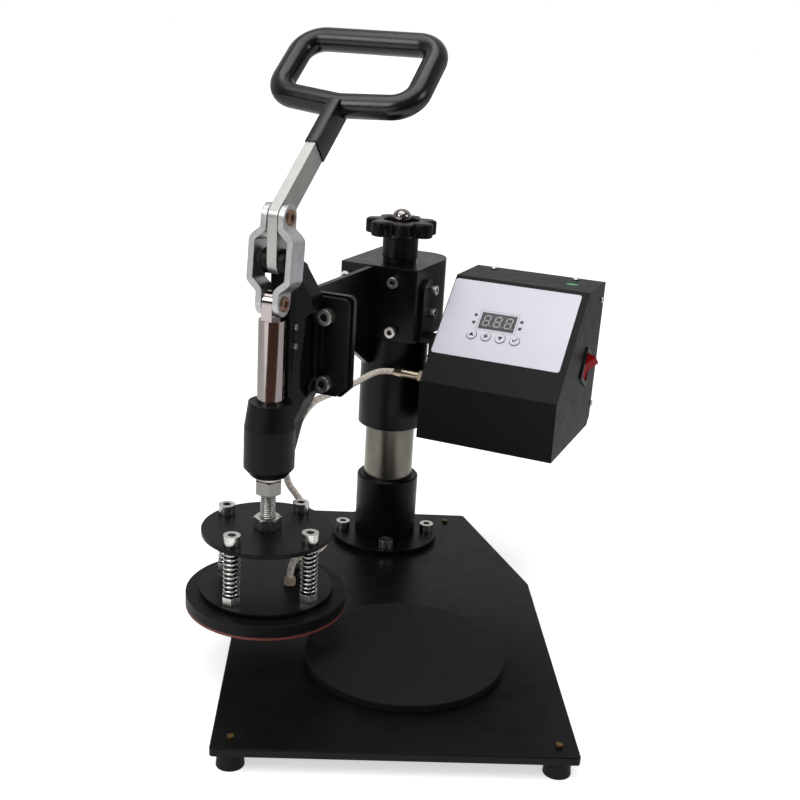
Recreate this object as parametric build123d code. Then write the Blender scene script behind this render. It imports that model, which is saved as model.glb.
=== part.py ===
from build123d import *
import os
from math import atan2, cos, degrees, hypot, pi, radians, sin, sqrt, tan

# A bench heat press for leather and foil work. A push-pull toggle clamp on a swinging arm lowers
# a sprung round heating plate on to a rubber pad. Millimetres, +Z up. The origin is on the bench,
# on the axis of the upright post, and +X is to the operator's right.
# The swinging head is drawn with its arm along -Y and is turned to its rest angle as it is written.

os.makedirs("parts", exist_ok=True)

# Base plate, feet and pad
BASE_WIDTH = 255.0
BASE_FRONT = 360.0
BASE_REAR = 52.0
BASE_THICK = 6.0
BASE_CORNER = 3.0
BASE_EDGE_CHAMFER = 0.6
REAR_CUT_X = 45.5
REAR_CUT_Y = 149.0
FOOT_HEIGHT = 14.0
FOOT_RADIUS = 10.0
FOOT_TOP_RADIUS = 9.0
FOOT_RECESS_RADIUS = 5.6
FOOT_RECESS_DEPTH = 7.0
FOOT_FRONT_X = 114.0
FOOT_FRONT_INSET = 13.0
FOOT_REAR_X = 62.0
FOOT_REAR_INSET = 18.0
FOOT_SCREW_RADIUS = 2.5
FOOT_SCREW_HEAD_RADIUS = 4.6
FOOT_SCREW_HEAD_HEIGHT = 3.0
FOOT_SCREW_STANDS_OUT = 2.3
PAD_RADIUS = 78.0
PAD_THICK = 7.0
PAD_EDGE_CHAMFER = 0.8
PAD_ANGLE = 2.4

# Post
COLUMN_RADIUS = 22.8
COLUMN_TOP = 283.0
COLUMN_CHAMFER = 1.0
FLANGE_RADIUS = 50.0
FLANGE_THICK = 5.0
FLANGE_BOLT_CIRCLE = 40.5
FLANGE_BOLT = 4.0
SOCKET_RADIUS = 28.8
SOCKET_TOP = 85.0
SOCKET_CHAMFER = 1.5

# Swinging sleeve and turret
REST_SWING = -25.5
REACH = 233.2
SLEEVE_RADIUS = 30.5
SLEEVE_BOTTOM = 136.4
SLEEVE_CHAMFER = 1.0
BUSH_WALL = 3.0
BUSH_LENGTH = 42.0
TURRET_LEFT = 44.0
TURRET_RIGHT = 30.0
TURRET_REAR = 62.0
TURRET_FRONT = 25.5
TURRET_BOTTOM = 223.0
TURRET_HEIGHT = 66.0
TURRET_ROUND = 26.0
TURRET_CORNER = 2.0
TURRET_TOP_HOLE = 5.6

# Arm
ARM_THICK = 5.0
ARM_RIGHT_FACE = -11.5
ARM_TOP_DROP = 1.0
ARM_CHAMFER = 1.0
ARM_REAR_PLATE = 4.5
ARM_SCREW_SPACING_X = 46.0
ARM_SCREW_SPACING_Z = 45.0
ARM_SCREW_RISE = 8.5
ARM_SCREW = 3.0
ARM_SCREW_DEPTH = 8.0
GUSSET_START = 70.0
GUSSET_DROP = 23.0
ARM_END_PLATE = 5.0
ARM_END_MARGIN = 1.6

# Toggle clamp body
MOUNT_FACE = 59.2
MOUNT_HALF_WIDTH = 36.0
MOUNT_TOP = 292.0
MOUNT_BOTTOM = 214.0
MOUNT_PLATE = 6.0
MOUNT_ROUND = 5.0
MOUNT_CUT = 8.0
CLAMP_BOLT = 4.0
CLAMP_BOLT_SPACING_X = 38.0
CLAMP_BOLT_SPACING_Z = 53.3
CLAMP_BOLT_CENTRE_Z = 251.0
BARREL_RADIUS = 19.4
BARREL_TOP = 220.0
BARREL_TOP_RADIUS = 16.5
BARREL_SHOULDER = 200.0
BARREL_LOW_SHOULDER = 168.0
BARREL_BOTTOM = 161.5
BARREL_BOTTOM_RADIUS = 14.0
EAR_HALF_WIDTH = 11.0
EAR_RADIUS = 9.5
EAR_CHAMFER = 1.5
SLOT_GAP = 1.5
WEB_FRONT_GAP = 1.5
WEB_EAR_HALF = 8.5
WEB_HALF = 14.5
WEB_FOOT_HALF = 8.4
WEB_SHOULDER = (37.2, 319.0)
WEB_HEEL = (49.2, 215.0)
WEB_TOE = (20.2, 164.0)
WEB_WIDENS = (19.2, 33.2)
WEB_HEIGHTS = (316.0, 295.0, 221.0, 197.0)
POCKET_DEPTH = 7.5
POCKET_ROUND = 3.0
POCKET = ((43.2, 282.0), (43.2, 232.0), (33.2, 214.0), (25.2, 226.0), (25.2, 244.0), (30.2, 282.0))
GUIDE_SCREW_RADIUS = 2.5
GUIDE_SCREW_STANDS_OUT = 1.6
GUIDE_SCREW_INNER = 5.0
GUIDE_SCREW_OUTER = 9.0
GUIDE_SCREW_BACK = 18.7
GUIDE_SCREWS = ((1, 274.6), (1, 259.7), (-1, 242.0))
BOLT_RECESS_RADIUS = 7.0
BOLT_RECESS_DEPTH = 40.0

# Toggle linkage: lever pivot P0, crank pin P1, ram pin P2
PIVOT_OFFSET = 6.2
PIVOT_Z = 325.0
CRANK = 32.5
RAM_PIN_Z = 295.5
PIVOT_PIN_RADIUS = 5.0
LEVER_HALF_THICK = 4.0
LEVER_WIDTH = 19.0
LEVER_LEAN = 51.0
LEVER_BAR_END = 118.0
STEM_START = 67.0
STEM_WALL = 1.2
STEM_CORNER = 2.0
LINK_INNER = 4.5
LINK_NECK = 5.0
LINK_BULGE_INNER = 13.2
LINK_BULGE_OUTER = 17.9
LINK_HALF_WIDTH = 9.5
LINK_BEND_START = 8.2
LINK_BEND_END = 14.0
LINK_BEND_SHIFT = 1.5
LINK_BEND_ROUND = 1.5
LINK_SCREW_RADIUS = 4.0
LINK_HEAD_RADIUS = 6.5
LINK_HEAD_HEIGHT = 5.0
LINK_SOCKET = 5.0

# Handle loop
LOOP_WIDTH = 108.0
LOOP_HEIGHT = 65.0
LOOP_CORNER = 20.0
LOOP_ROD_RADIUS = 6.0
GRIP_RADIUS = 10.0

# Ram
ROD_RADIUS = 10.2
ROD_BOTTOM = 157.4
ROD_SHOULDER = 283.0
ROD_CHAMFER = 1.0
TONGUE_GAP = 0.12
TONGUE_RADIUS = 9.0
STUD_RADIUS = 6.0
STUD_IN_ROD = 30.0
STUD_BORE_DEPTH = 44.0
LOCK_NUT_HEIGHT = 10.7
STUD_NUT_HEIGHT = 12.7
STUD_NUT_FLATS = 19.0

# Pressure head and platen
UPPER_DISC_RADIUS = 50.8
UPPER_DISC_TOP = 117.3
UPPER_DISC_THICK = 3.3
BACKING_RADIUS = 51.9
BACKING_TOP = 69.1
BACKING_THICK = 4.0
HEATER_RADIUS = 62.5
HEATER_CHAMFER = 0.5
PLATEN_BOTTOM = 53.9
RIM_HEIGHT = 2.0
RIM_DEPTH = 1.2
SPRING_BOLT_CIRCLE = 41.5
SPRING_BOLT_START = -10.0
SPRING_BOLT = 4.0
NUT_FLATS_M8 = 13.0
NUT_HEIGHT_M8 = 6.5
SPRING_RADIUS = 6.5
WIRE_RADIUS = 0.8
SPRING_TURNS = 9
SPRING_END = 3.8
WIRE_SIDES = 4
ELEMENT_INNER = 18.0
ELEMENT_OUTER = 34.0
ELEMENT_DEPTH = 6.0
PROBE_RADIUS = 2.0
PROBE_LENGTH = 26.0
PROBE_Z = 60.0
CABLE_RADIUS = 2.75
CABLE_SLEEVE_RADIUS = 4.5
CABLE_SLEEVE_HEIGHT = 5.0
CABLE_SLEEVE_X = 16.0
CABLE_SLEEVE_BACK = 9.2

# Star knob on the post axis
WASHER_HEIGHT = 4.0
WASHER_RADIUS = 15.0
KNOB_HUB_RADIUS = 16.0
KNOB_HUB_HEIGHT = 16.5
KNOB_RADIUS = 32.0
KNOB_HEAD_HEIGHT = 17.5
KNOB_LOBES = 6
KNOB_SCALLOP_RADIUS = 8.0
KNOB_SCALLOP_CENTRE = 34.5
KNOB_EDGE_ROUND = 2.0
KNOB_TOP_CHAMFER = 1.2
KNOB_RECESS_RADIUS = 9.0
KNOB_RECESS_DEPTH = 3.0
DOME_RADIUS = 7.8
DOME_SKIRT = 5.0
DOME_RISE = 5.5
KNOB_SCREW_RADIUS = 5.0
KNOB_SCREW_IN_POST = 24.0

# Controller box
CASE_LEFT = 45.0
CASE_WIDTH = 125.0
CASE_WALL = 1.5
CASE_FRONT = -46.0
CASE_BOTTOM = 143.0
CASE_FOLD_Z = 196.0
CASE_TOP_FRONT = 31.0
CASE_TOP = 278.0
CASE_TOP_REAR = 88.0
CASE_LOW_REAR = 80.0
CASE_LOW_REAR_Z = 150.0
CASE_FLOOR_REAR = 73.0
BACK_FLANGE = 12.0
BACK_FLANGE_WALL = 1.2
CASE_SCREW_RADIUS = 1.5
CASE_SCREW_HEAD_RADIUS = 3.0
CASE_SCREW_HEAD_HEIGHT = 1.8
CASE_SCREW_LENGTH = 6.0
CASE_SCREW_Y = 79.0
CASE_SCREW_ZS = (163.0, 263.0)
CASE_SCREW_INSETS = (19.5, 99.0)
LABEL_THICK = 0.5
LABEL_LEFT = 0.8
LABEL_RIGHT = 119.0
LABEL_LOW = 29.7
LABEL_HIGH = 108.5
LABEL_CORNER = 2.5
DISPLAY_X = 52.3
DISPLAY_UP = 69.0
DISPLAY_WIDTH = 32.5
DISPLAY_HEIGHT = 16.6
DISPLAY_PROUD = 0.4
BUTTON_XS = (32.5, 45.8, 59.2, 72.5)
BUTTON_UP = 53.0
BUTTON_RADIUS = 4.4
BUTTON_PROUD = 1.2
BUTTON_TRAVEL = 0.8
BUTTON_CHAMFER = 0.3
BUTTON_COLLAR = 1.0
BUTTON_STEM = 2.0
LED_RADIUS = 1.5
LED_PLACES = ((30.6, 73.5), (30.6, 65.7), (73.6, 72.7), (73.6, 65.8))
BOARD_GAP = 10.0
BOARD_THICK = 1.6
BOARD_WIDTH = 70.0
BOARD_HEIGHT = 46.0
BOARD_UP = 65.0
POST_RADIUS = 2.5
POST_INSET = 4.5
PLUNGER_SIZE = 6.0
PLUNGER_HEIGHT = 4.0
SWITCH_Y = 42.0
SWITCH_Z = 208.0
SWITCH_LEAN = 32.0
BEZEL_LONG = 31.0
BEZEL_SHORT = 25.0
BEZEL_PROUD = 2.0
BEZEL_CORNER = 2.0
BEZEL_CHAMFER = 0.6
SWITCH_BODY_LONG = 27.6
SWITCH_BODY_SHORT = 21.6
SWITCH_BODY_DEPTH = 22.0
ROCKER_RADIUS = 12.0
ROCKER_WIDTH = 16.6
ROCKER_PIVOT_DEPTH = 3.0
ROCKER_TILT = 10.0
ROCKER_WELL = 14.0
ROCKER_PIN_RADIUS = 1.5
ROCKER_PIN_OVER = 3.0
ROCKER_UNDER = 2.0
ROCKER_HORN = 7.0
ROCKER_DIP = 3.6
GLAND_Y = -37.5
GLAND_Z = 197.0
GLAND_LENGTH = 28.0
GLAND_HEX = 9.4
GLAND_RADIUS = 4.0
GLAND_THREAD_RADIUS = 3.5
GLAND_THREAD_LENGTH = 5.0
GLAND_HEX_HEIGHT = 4.0
GLAND_NOSE = 8.0
GLAND_LIP = 0.4
RELAY_SIZE = (58.0, 45.0, 28.0)
RELAY_X = 128.0
RELAY_Y = 10.0
INLET_X = 108.0
INLET_UP = 40.0
INLET_WIDTH = 31.0
INLET_HEIGHT = 25.0
INLET_LIP = 2.0
INLET_BODY_WIDTH = 27.0
INLET_BODY_HEIGHT = 20.0
INLET_BODY_DEPTH = 20.0
INLET_WELL_WIDTH = 23.0
INLET_WELL_HEIGHT = 16.0
INLET_WELL_DEPTH = 17.0
INLET_PIN_LENGTH = 9.0
INLET_PIN_THICK = 2.0
INLET_PIN_WIDE = 4.0
INLET_PINS = ((-7.0, -2.0), (7.0, -2.0), (0.0, 2.0))
INLET_WELL_CHAMFER = 4.0
INLET_CORNER = 2.0
BRACKET_THICK = 4.0
BRACKET_WIDTH = 25.0
BRACKET_Y = -7.5
BRACKET_TOP = 278.0
BRACKET_FOOT = 165.0
BRACKET_SCREW_Y = -2.0
BRACKET_SCREW_ZS = (268.0, 247.0)
BRACKET_LOW_ZS = (205.0, 180.0)
BRACKET_SCREW = 2.5
BRACKET_SCREW_GRIP = 6.0
BRACKET_SCREW_IN_CASE = 4.0

# Fits
SNUG = 0.05
LOOSE = 0.3
SIDE_PLAY = 0.1

BASE_BOTTOM = FOOT_HEIGHT
BASE_TOP = BASE_BOTTOM + BASE_THICK
PAD_TOP = BASE_TOP + PAD_THICK
TURRET_TOP = TURRET_BOTTOM + TURRET_HEIGHT
ARM_FRONT_FACE = -TURRET_FRONT - ARM_REAR_PLATE
ARM_TOP = TURRET_TOP - ARM_TOP_DROP
ARM_CENTRE_X = ARM_RIGHT_FACE - ARM_THICK / 2
MOUNT_REAR_Y = -REACH + MOUNT_FACE
MOUNT_FRONT_Y = MOUNT_REAR_Y - MOUNT_PLATE
ARM_END_Y = MOUNT_REAR_Y + ARM_END_PLATE
PIVOT_Y = -REACH + PIVOT_OFFSET
CRANK_Z = PIVOT_Z + CRANK
UPPER_DISC_BOTTOM = UPPER_DISC_TOP - UPPER_DISC_THICK
BACKING_BOTTOM = BACKING_TOP - BACKING_THICK
CASE_RIGHT = CASE_LEFT + CASE_WIDTH
LOOP_LOW_BAR = LEVER_BAR_END + GRIP_RADIUS - 1.0
KNOB_BASE = TURRET_TOP + WASHER_HEIGHT
KNOB_TOP = KNOB_BASE + KNOB_HUB_HEIGHT + KNOB_HEAD_HEIGHT


def drum(radius, low, high, x=0.0, y=0.0):
    """A solid cylinder on a vertical axis."""
    body = Cylinder(radius, high - low, align=(Align.CENTER, Align.CENTER, Align.MIN))
    return Pos(x, y, low) * body


def tube(outer, inner, low, high, x=0.0, y=0.0):
    """A vertical tube."""
    return drum(outer, low, high, x, y) - drum(inner, low - 1, high + 1, x, y)


def block(x_low, x_high, y_low, y_high, z_low, z_high):
    """A box between two corners."""
    size = Box(x_high - x_low, y_high - y_low, z_high - z_low, align=(Align.MIN,) * 3)
    return Pos(x_low, y_low, z_low) * size


def slab(plane, points, thick):
    """A flat outline on a plane, extruded along the plane's normal."""
    return extrude(plane * Polygon(*points, align=None), thick, dir=plane.z_dir)


def side_profile(points, x_low, x_high):
    """A flat outline in (y, z), extruded across X."""
    return slab(Plane.YZ.offset(x_low), points, x_high - x_low)


def plan_profile(points, low, high):
    """A flat outline in (x, y), extruded upwards."""
    return slab(Plane.XY.offset(low), points, high - low)


def front_profile(points, y_low, y_high):
    """A flat outline in (x, z), extruded along Y."""
    return slab(Plane.XZ.offset(-y_high), points, y_high - y_low)


def pin(radius, start, direction, length):
    """A cylinder from a point along a direction."""
    body = Cylinder(radius, length, align=(Align.CENTER, Align.CENTER, Align.MIN))
    return Plane(origin=start, z_dir=direction) * body


def hex_prism(flats, low, high):
    """A hexagonal prism on the Z axis."""
    outline = RegularPolygon(radius=flats / sqrt(3), side_count=6)
    return extrude(Plane.XY.offset(low) * outline, high - low)


def hex_nut(flats, height, bore):
    """A nut that stands on the XY plane, with its corners turned off at both ends."""
    corner = flats / sqrt(3)
    slope = 0.5 * (corner - flats / 2)
    turned = drum(corner, 0, height)
    turned = chamfer(turned.edges().filter_by(GeomType.CIRCLE), slope, slope * 1.4)
    return (hex_prism(flats, 0, height) & turned) - drum(bore, -1, height + 1)


def cap_screw(shank, length):
    """A socket head cap screw: its head stands on the XY plane and its shank points down."""
    size = 2 * shank
    head = drum((1.5 * size + 1) / 2, 0, size)
    socket = hex_prism(0.75 * size, 0.45 * size, size + 1)
    return head - socket + drum(shank, -length, 0)


def at(points, shape):
    """Copies of one shape at several places."""
    return [Pos(*place) * shape for place in points]


def ring_places(radius, count, start, z, x=0.0, y=0.0):
    """Places evenly spaced round a circle."""
    turns = [radians(start + 360.0 * i / count) for i in range(count)]
    return [(x + radius * cos(a), y + radius * sin(a), z) for a in turns]


def write(node, shapes, swings=True):
    """Writes a node, turned to the rest swing where it belongs to the head."""
    solids = []
    for shape in shapes if isinstance(shapes, list) else [shapes]:
        solids.extend(shape.solids())
    turn = Rot(0, 0, REST_SWING) if swings else Rot(0, 0, 0)
    solids = [turn * solid for solid in solids]
    export_step(solids[0] if len(solids) == 1 else Compound(children=solids), f"parts/{node}.step")


foot_places = [(side * FOOT_FRONT_X, FOOT_FRONT_INSET - BASE_FRONT) for side in (1, -1)]
foot_places += [(side * FOOT_REAR_X, BASE_REAR - FOOT_REAR_INSET) for side in (1, -1)]


def base_plate():
    """Flat steel plate with both rear corners cut off."""
    half = BASE_WIDTH / 2
    cut = half - REAR_CUT_X
    side = BASE_REAR - REAR_CUT_Y
    outline = [(-half, -BASE_FRONT), (half, -BASE_FRONT), (half, side)]
    outline += [(cut, BASE_REAR), (-cut, BASE_REAR), (-half, side)]
    plate = plan_profile(outline, BASE_BOTTOM, BASE_TOP)
    plate = fillet(plate.edges().filter_by(Axis.Z), BASE_CORNER)
    plate = chamfer(plate.faces().sort_by(Axis.Z)[-1].edges(), BASE_EDGE_CHAMFER)
    for x, y in foot_places:
        plate -= drum(FOOT_SCREW_RADIUS + SNUG, 0, BASE_TOP + 1, x, y)
    for x, y, z in ring_places(FLANGE_BOLT_CIRCLE, 4, 0, 0):
        plate -= drum(FLANGE_BOLT + SNUG, 0, BASE_TOP + 1, x, y)
    return plate


def rubber_feet():
    """Tapered rubber feet with a recess for the screw head."""
    foot = Pos(0, 0, FOOT_HEIGHT / 2) * Cone(FOOT_RADIUS, FOOT_TOP_RADIUS, FOOT_HEIGHT)
    foot -= drum(FOOT_RECESS_RADIUS, -1, FOOT_RECESS_DEPTH)
    foot -= drum(FOOT_SCREW_RADIUS + SNUG, 0, FOOT_HEIGHT + 1)
    return at([(x, y, 0) for x, y in foot_places], foot)


def foot_screws():
    """Brass screws up through the feet, whose tips stand out of the plate."""
    head = drum(FOOT_SCREW_HEAD_RADIUS, FOOT_RECESS_DEPTH - FOOT_SCREW_HEAD_HEIGHT, FOOT_RECESS_DEPTH)
    shank = drum(FOOT_SCREW_RADIUS, FOOT_RECESS_DEPTH, BASE_TOP + FOOT_SCREW_STANDS_OUT)
    return at([(x, y, 0) for x, y in foot_places], head + shank)


def silicone_pad():
    """Round rubber pad that the work lies on."""
    pad = drum(PAD_RADIUS, BASE_TOP, PAD_TOP)
    pad = chamfer(pad.faces().sort_by(Axis.Z)[-1].edges(), PAD_EDGE_CHAMFER)
    return Pos(REACH * sin(radians(PAD_ANGLE)), -REACH * cos(radians(PAD_ANGLE)), 0) * pad


def post_flange():
    """Round foot of the post."""
    flange = tube(FLANGE_RADIUS, COLUMN_RADIUS + SNUG, BASE_TOP, BASE_TOP + FLANGE_THICK)
    for x, y, z in ring_places(FLANGE_BOLT_CIRCLE, 4, 0, 0):
        flange -= drum(FLANGE_BOLT + LOOSE, 0, SOCKET_TOP, x, y)
    return flange


def post_socket():
    """Collar that grips the foot of the column."""
    low = BASE_TOP + FLANGE_THICK
    collar = drum(SOCKET_RADIUS, low, SOCKET_TOP)
    collar = chamfer(collar.faces().sort_by(Axis.Z)[-1].edges(), SOCKET_CHAMFER)
    return collar - drum(COLUMN_RADIUS + SNUG, 0, SOCKET_TOP + 1)


def flange_bolts():
    """Four cap screws through the flange into the base plate."""
    screw = cap_screw(FLANGE_BOLT, FLANGE_THICK + BASE_THICK)
    return at(ring_places(FLANGE_BOLT_CIRCLE, 4, 0, BASE_TOP + FLANGE_THICK), screw)


def post_column():
    """Ground steel column with a threaded hole in its top."""
    column = drum(COLUMN_RADIUS, BASE_TOP, COLUMN_TOP)
    column = chamfer(column.faces().sort_by(Axis.Z)[-1].edges(), COLUMN_CHAMFER)
    bottom = COLUMN_TOP - KNOB_SCREW_IN_POST - 6
    return column - drum(KNOB_SCREW_RADIUS + SNUG, bottom, COLUMN_TOP + 1)


def swing_sleeve():
    """Tube that turns on the column and carries the turret."""
    sleeve = drum(SLEEVE_RADIUS, SLEEVE_BOTTOM, TURRET_BOTTOM)
    sleeve = chamfer(sleeve.faces().sort_by(Axis.Z)[0].edges(), SLEEVE_CHAMFER)
    sleeve -= drum(COLUMN_RADIUS + SNUG, SLEEVE_BOTTOM - 1, TURRET_BOTTOM + 1)
    return sleeve - drum(COLUMN_RADIUS + BUSH_WALL, SLEEVE_BOTTOM - 1, SLEEVE_BOTTOM + BUSH_LENGTH)


def swing_bush():
    """Bronze bush in the foot of the sleeve."""
    outer = COLUMN_RADIUS + BUSH_WALL - SNUG
    return tube(outer, COLUMN_RADIUS + SNUG, SLEEVE_BOTTOM, SLEEVE_BOTTOM + BUSH_LENGTH)


arm_screw_xs = (ARM_CENTRE_X - ARM_SCREW_SPACING_X / 2, ARM_CENTRE_X + ARM_SCREW_SPACING_X / 2)
arm_screw_zs = (TURRET_BOTTOM + ARM_SCREW_RISE, TURRET_BOTTOM + ARM_SCREW_RISE + ARM_SCREW_SPACING_Z)


def turret_block():
    """Block on top of the sleeve, with one large rounded corner at the right rear."""
    outline = [(-TURRET_LEFT, -TURRET_FRONT), (TURRET_RIGHT, -TURRET_FRONT)]
    outline += [(TURRET_RIGHT, TURRET_REAR), (-TURRET_LEFT, TURRET_REAR)]
    body = plan_profile(outline, TURRET_BOTTOM, TURRET_TOP)
    uprights = body.edges().filter_by(Axis.Z)
    body = fillet(uprights.filter_by(lambda e: e.center().X > 0 and e.center().Y > 0), TURRET_ROUND)
    uprights = body.edges().filter_by(Axis.Z)
    body = fillet(uprights.filter_by(lambda e: e.center().X < 0 and e.center().Y > 0), TURRET_CORNER)
    body -= drum(COLUMN_RADIUS + SNUG, TURRET_BOTTOM - 1, COLUMN_TOP)
    body -= drum(TURRET_TOP_HOLE, TURRET_BOTTOM, TURRET_TOP + 1)
    for z in arm_screw_zs:
        start = (arm_screw_xs[0], -TURRET_FRONT - 1, z)
        body -= pin(ARM_SCREW + SNUG, start, (0, 1, 0), ARM_SCREW_DEPTH + 2)
    for z in BRACKET_SCREW_ZS:
        start = (TURRET_RIGHT + 1, BRACKET_SCREW_Y, z)
        body -= pin(BRACKET_SCREW + SNUG, start, (-1, 0, 0), BRACKET_SCREW_GRIP + 1)
    return body


def turret_screws():
    """Four cap screws that hold the arm's rear plate; the right-hand pair is short, beside the bore."""
    screws = []
    for x in arm_screw_xs:
        depth = ARM_REAR_PLATE + (ARM_SCREW_DEPTH if x < 0 else 0)
        for z in arm_screw_zs:
            face = Plane(origin=(x, ARM_FRONT_FACE, z), z_dir=(0, -1, 0))
            screws.append(face * cap_screw(ARM_SCREW, depth))
    return screws


def mount_outline(margin):
    """Face of the clamp's mounting plate: rounded at the top, cut at the bottom corners."""
    half = MOUNT_HALF_WIDTH + margin
    low = MOUNT_BOTTOM - margin
    high = MOUNT_TOP + margin
    outline = [(-half, low + MOUNT_CUT), (-half + MOUNT_CUT, low), (half - MOUNT_CUT, low)]
    outline += [(half, low + MOUNT_CUT), (half, high), (-half, high)]
    return outline


def mount_plate(margin, y_low, y_high, hole):
    """The plate itself, with its top corners rounded and its four bolt holes."""
    plate = front_profile(mount_outline(margin), y_low, y_high)
    top = plate.edges().filter_by(Axis.Y).filter_by(lambda e: e.center().Z > MOUNT_TOP - 1)
    plate = fillet(top, MOUNT_ROUND)
    for x, z in clamp_bolt_places:
        plate -= pin(hole, (x, y_low - 1, z), (0, 1, 0), y_high - y_low + 2)
    return plate


clamp_bolt_places = [
    (side * CLAMP_BOLT_SPACING_X / 2, CLAMP_BOLT_CENTRE_Z + level * CLAMP_BOLT_SPACING_Z / 2)
    for side in (-1, 1)
    for level in (-1, 1)
]


def arm_plate():
    """Welded arm: upright side plate, rear plate on the turret, end plate for the clamp, and a gusset."""
    low = TURRET_BOTTOM - 1
    left = ARM_RIGHT_FACE - ARM_THICK
    side = block(left, ARM_RIGHT_FACE, ARM_END_Y, ARM_FRONT_FACE, low, ARM_TOP)
    rear = block(-TURRET_LEFT, TURRET_RIGHT, ARM_FRONT_FACE, -TURRET_FRONT, TURRET_BOTTOM, TURRET_TOP)
    rear = chamfer(rear.edges().filter_by(Axis.Z).group_by(Axis.Y)[0], ARM_CHAMFER)
    for x in arm_screw_xs:
        for z in arm_screw_zs:
            rear -= pin(ARM_SCREW + SNUG, (x, ARM_FRONT_FACE - 1, z), (0, 1, 0), ARM_REAR_PLATE + 2)
    reach = sqrt(SLEEVE_RADIUS**2 - ARM_CENTRE_X**2)
    foot = low - GUSSET_DROP
    points = [(-GUSSET_START, low), (-reach - ARM_THICK, foot), (-reach + ARM_THICK, foot)]
    points += [(-reach + ARM_THICK, low + 1), (-GUSSET_START, low + 1)]
    gusset = side_profile(points, left, ARM_RIGHT_FACE) - drum(SLEEVE_RADIUS + SNUG, 0, TURRET_BOTTOM - 0.5)
    gusset -= block(left - 1, ARM_RIGHT_FACE + 1, -reach, 0, TURRET_BOTTOM - 0.5, TURRET_TOP)
    end = mount_plate(ARM_END_MARGIN, MOUNT_REAR_Y, ARM_END_Y, CLAMP_BOLT + SNUG)
    gusset = gusset - block(left - 1, ARM_RIGHT_FACE + 1, ARM_FRONT_FACE, 0, TURRET_BOTTOM - 1, TURRET_TOP)
    return side + rear + gusset + end


def behind(distance):
    """The Y of a place so far behind the ram's axis."""
    return distance - REACH


def web_body():
    """Middle of the clamp casting: narrow at the ears and at the barrel, widest between."""
    front = -REACH + ROD_RADIUS + WEB_FRONT_GAP
    high = PIVOT_Z + EAR_RADIUS
    low = WEB_TOE[1]
    inset = WEB_FRONT_GAP
    points = [(PIVOT_Y, high), (behind(WEB_SHOULDER[0]), WEB_SHOULDER[1])]
    points += [(MOUNT_FRONT_Y, MOUNT_TOP - inset), (MOUNT_REAR_Y, MOUNT_TOP - inset)]
    points += [(MOUNT_REAR_Y, MOUNT_BOTTOM + inset), (behind(WEB_HEEL[0]), WEB_HEEL[1])]
    points += [(behind(WEB_TOE[0]), low), (front, low)]
    points += [(front, PIVOT_Z - EAR_RADIUS), (PIVOT_Y, PIVOT_Z - EAR_RADIUS)]
    side = side_profile(points, -WEB_HALF - 1, WEB_HALF + 1)
    widths = (WEB_EAR_HALF, WEB_HALF, WEB_HALF, WEB_FOOT_HALF)
    face = [(WEB_EAR_HALF, high + 1)] + list(zip(widths, WEB_HEIGHTS)) + [(WEB_FOOT_HALF, low - 1)]
    face += [(-x, z) for x, z in reversed(face)]
    plan = [(WEB_EAR_HALF, front - 1), (WEB_EAR_HALF, behind(WEB_WIDENS[0]))]
    plan += [(WEB_HALF, behind(WEB_WIDENS[1])), (WEB_HALF, MOUNT_REAR_Y + 1)]
    plan += [(-x, y) for x, y in reversed(plan)]
    return side & front_profile(face, front - 1, MOUNT_REAR_Y + 1) & plan_profile(plan, low - 1, high + 1)


def clamp_body():
    """Iron casting of the toggle clamp: mounting plate, webs, barrel for the ram and ears for the lever."""
    barrel_points = [(0, BARREL_BOTTOM), (BARREL_BOTTOM_RADIUS, BARREL_BOTTOM)]
    barrel_points += [(BARREL_RADIUS, BARREL_LOW_SHOULDER), (BARREL_RADIUS, BARREL_SHOULDER)]
    barrel_points += [(BARREL_TOP_RADIUS, BARREL_TOP), (0, BARREL_TOP)]
    barrel = revolve(Plane.XZ * Polygon(*barrel_points, align=None), Axis.Z)
    body = web_body() + Pos(0, -REACH, 0) * barrel
    ear = pin(EAR_RADIUS, (-EAR_HALF_WIDTH, PIVOT_Y, PIVOT_Z), (1, 0, 0), 2 * EAR_HALF_WIDTH)
    body += chamfer(ear.edges().filter_by(GeomType.CIRCLE), EAR_CHAMFER)
    pocket = side_profile([(behind(back), z) for back, z in POCKET], POCKET_DEPTH, WEB_HALF + 1)
    pocket = fillet(pocket.edges().filter_by(Axis.X), POCKET_ROUND)
    body -= pocket
    body -= mirror(pocket, Plane.YZ)
    slot_half = LEVER_HALF_THICK + SIDE_PLAY * 4
    slot_rear = PIVOT_Y + LEVER_WIDTH / 2 + SLOT_GAP
    slot_low = PIVOT_Z - LEVER_WIDTH / 2 - SLOT_GAP
    slot_high = PIVOT_Z + EAR_RADIUS + 1
    body -= block(-slot_half, slot_half, PIVOT_Y - EAR_RADIUS - 1, slot_rear, slot_low, slot_high)
    body -= pin(PIVOT_PIN_RADIUS + SNUG, (-EAR_HALF_WIDTH, PIVOT_Y, PIVOT_Z), (1, 0, 0), 2 * EAR_HALF_WIDTH)
    body -= drum(ROD_RADIUS + SNUG, BARREL_BOTTOM - 1, PIVOT_Z - EAR_RADIUS, 0, -REACH)
    for side, z in GUIDE_SCREWS:
        start = (side * GUIDE_SCREW_INNER, -REACH + GUIDE_SCREW_BACK, z)
        body -= pin(GUIDE_SCREW_RADIUS + SNUG, start, (side, 0, 0), WEB_HALF)
    for x, z in clamp_bolt_places:
        body -= pin(BOLT_RECESS_RADIUS, (x, MOUNT_REAR_Y + 1, z), (0, -1, 0), BOLT_RECESS_DEPTH)
    return body + mount_plate(0, MOUNT_FRONT_Y, MOUNT_REAR_Y, CLAMP_BOLT + LOOSE)


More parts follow.
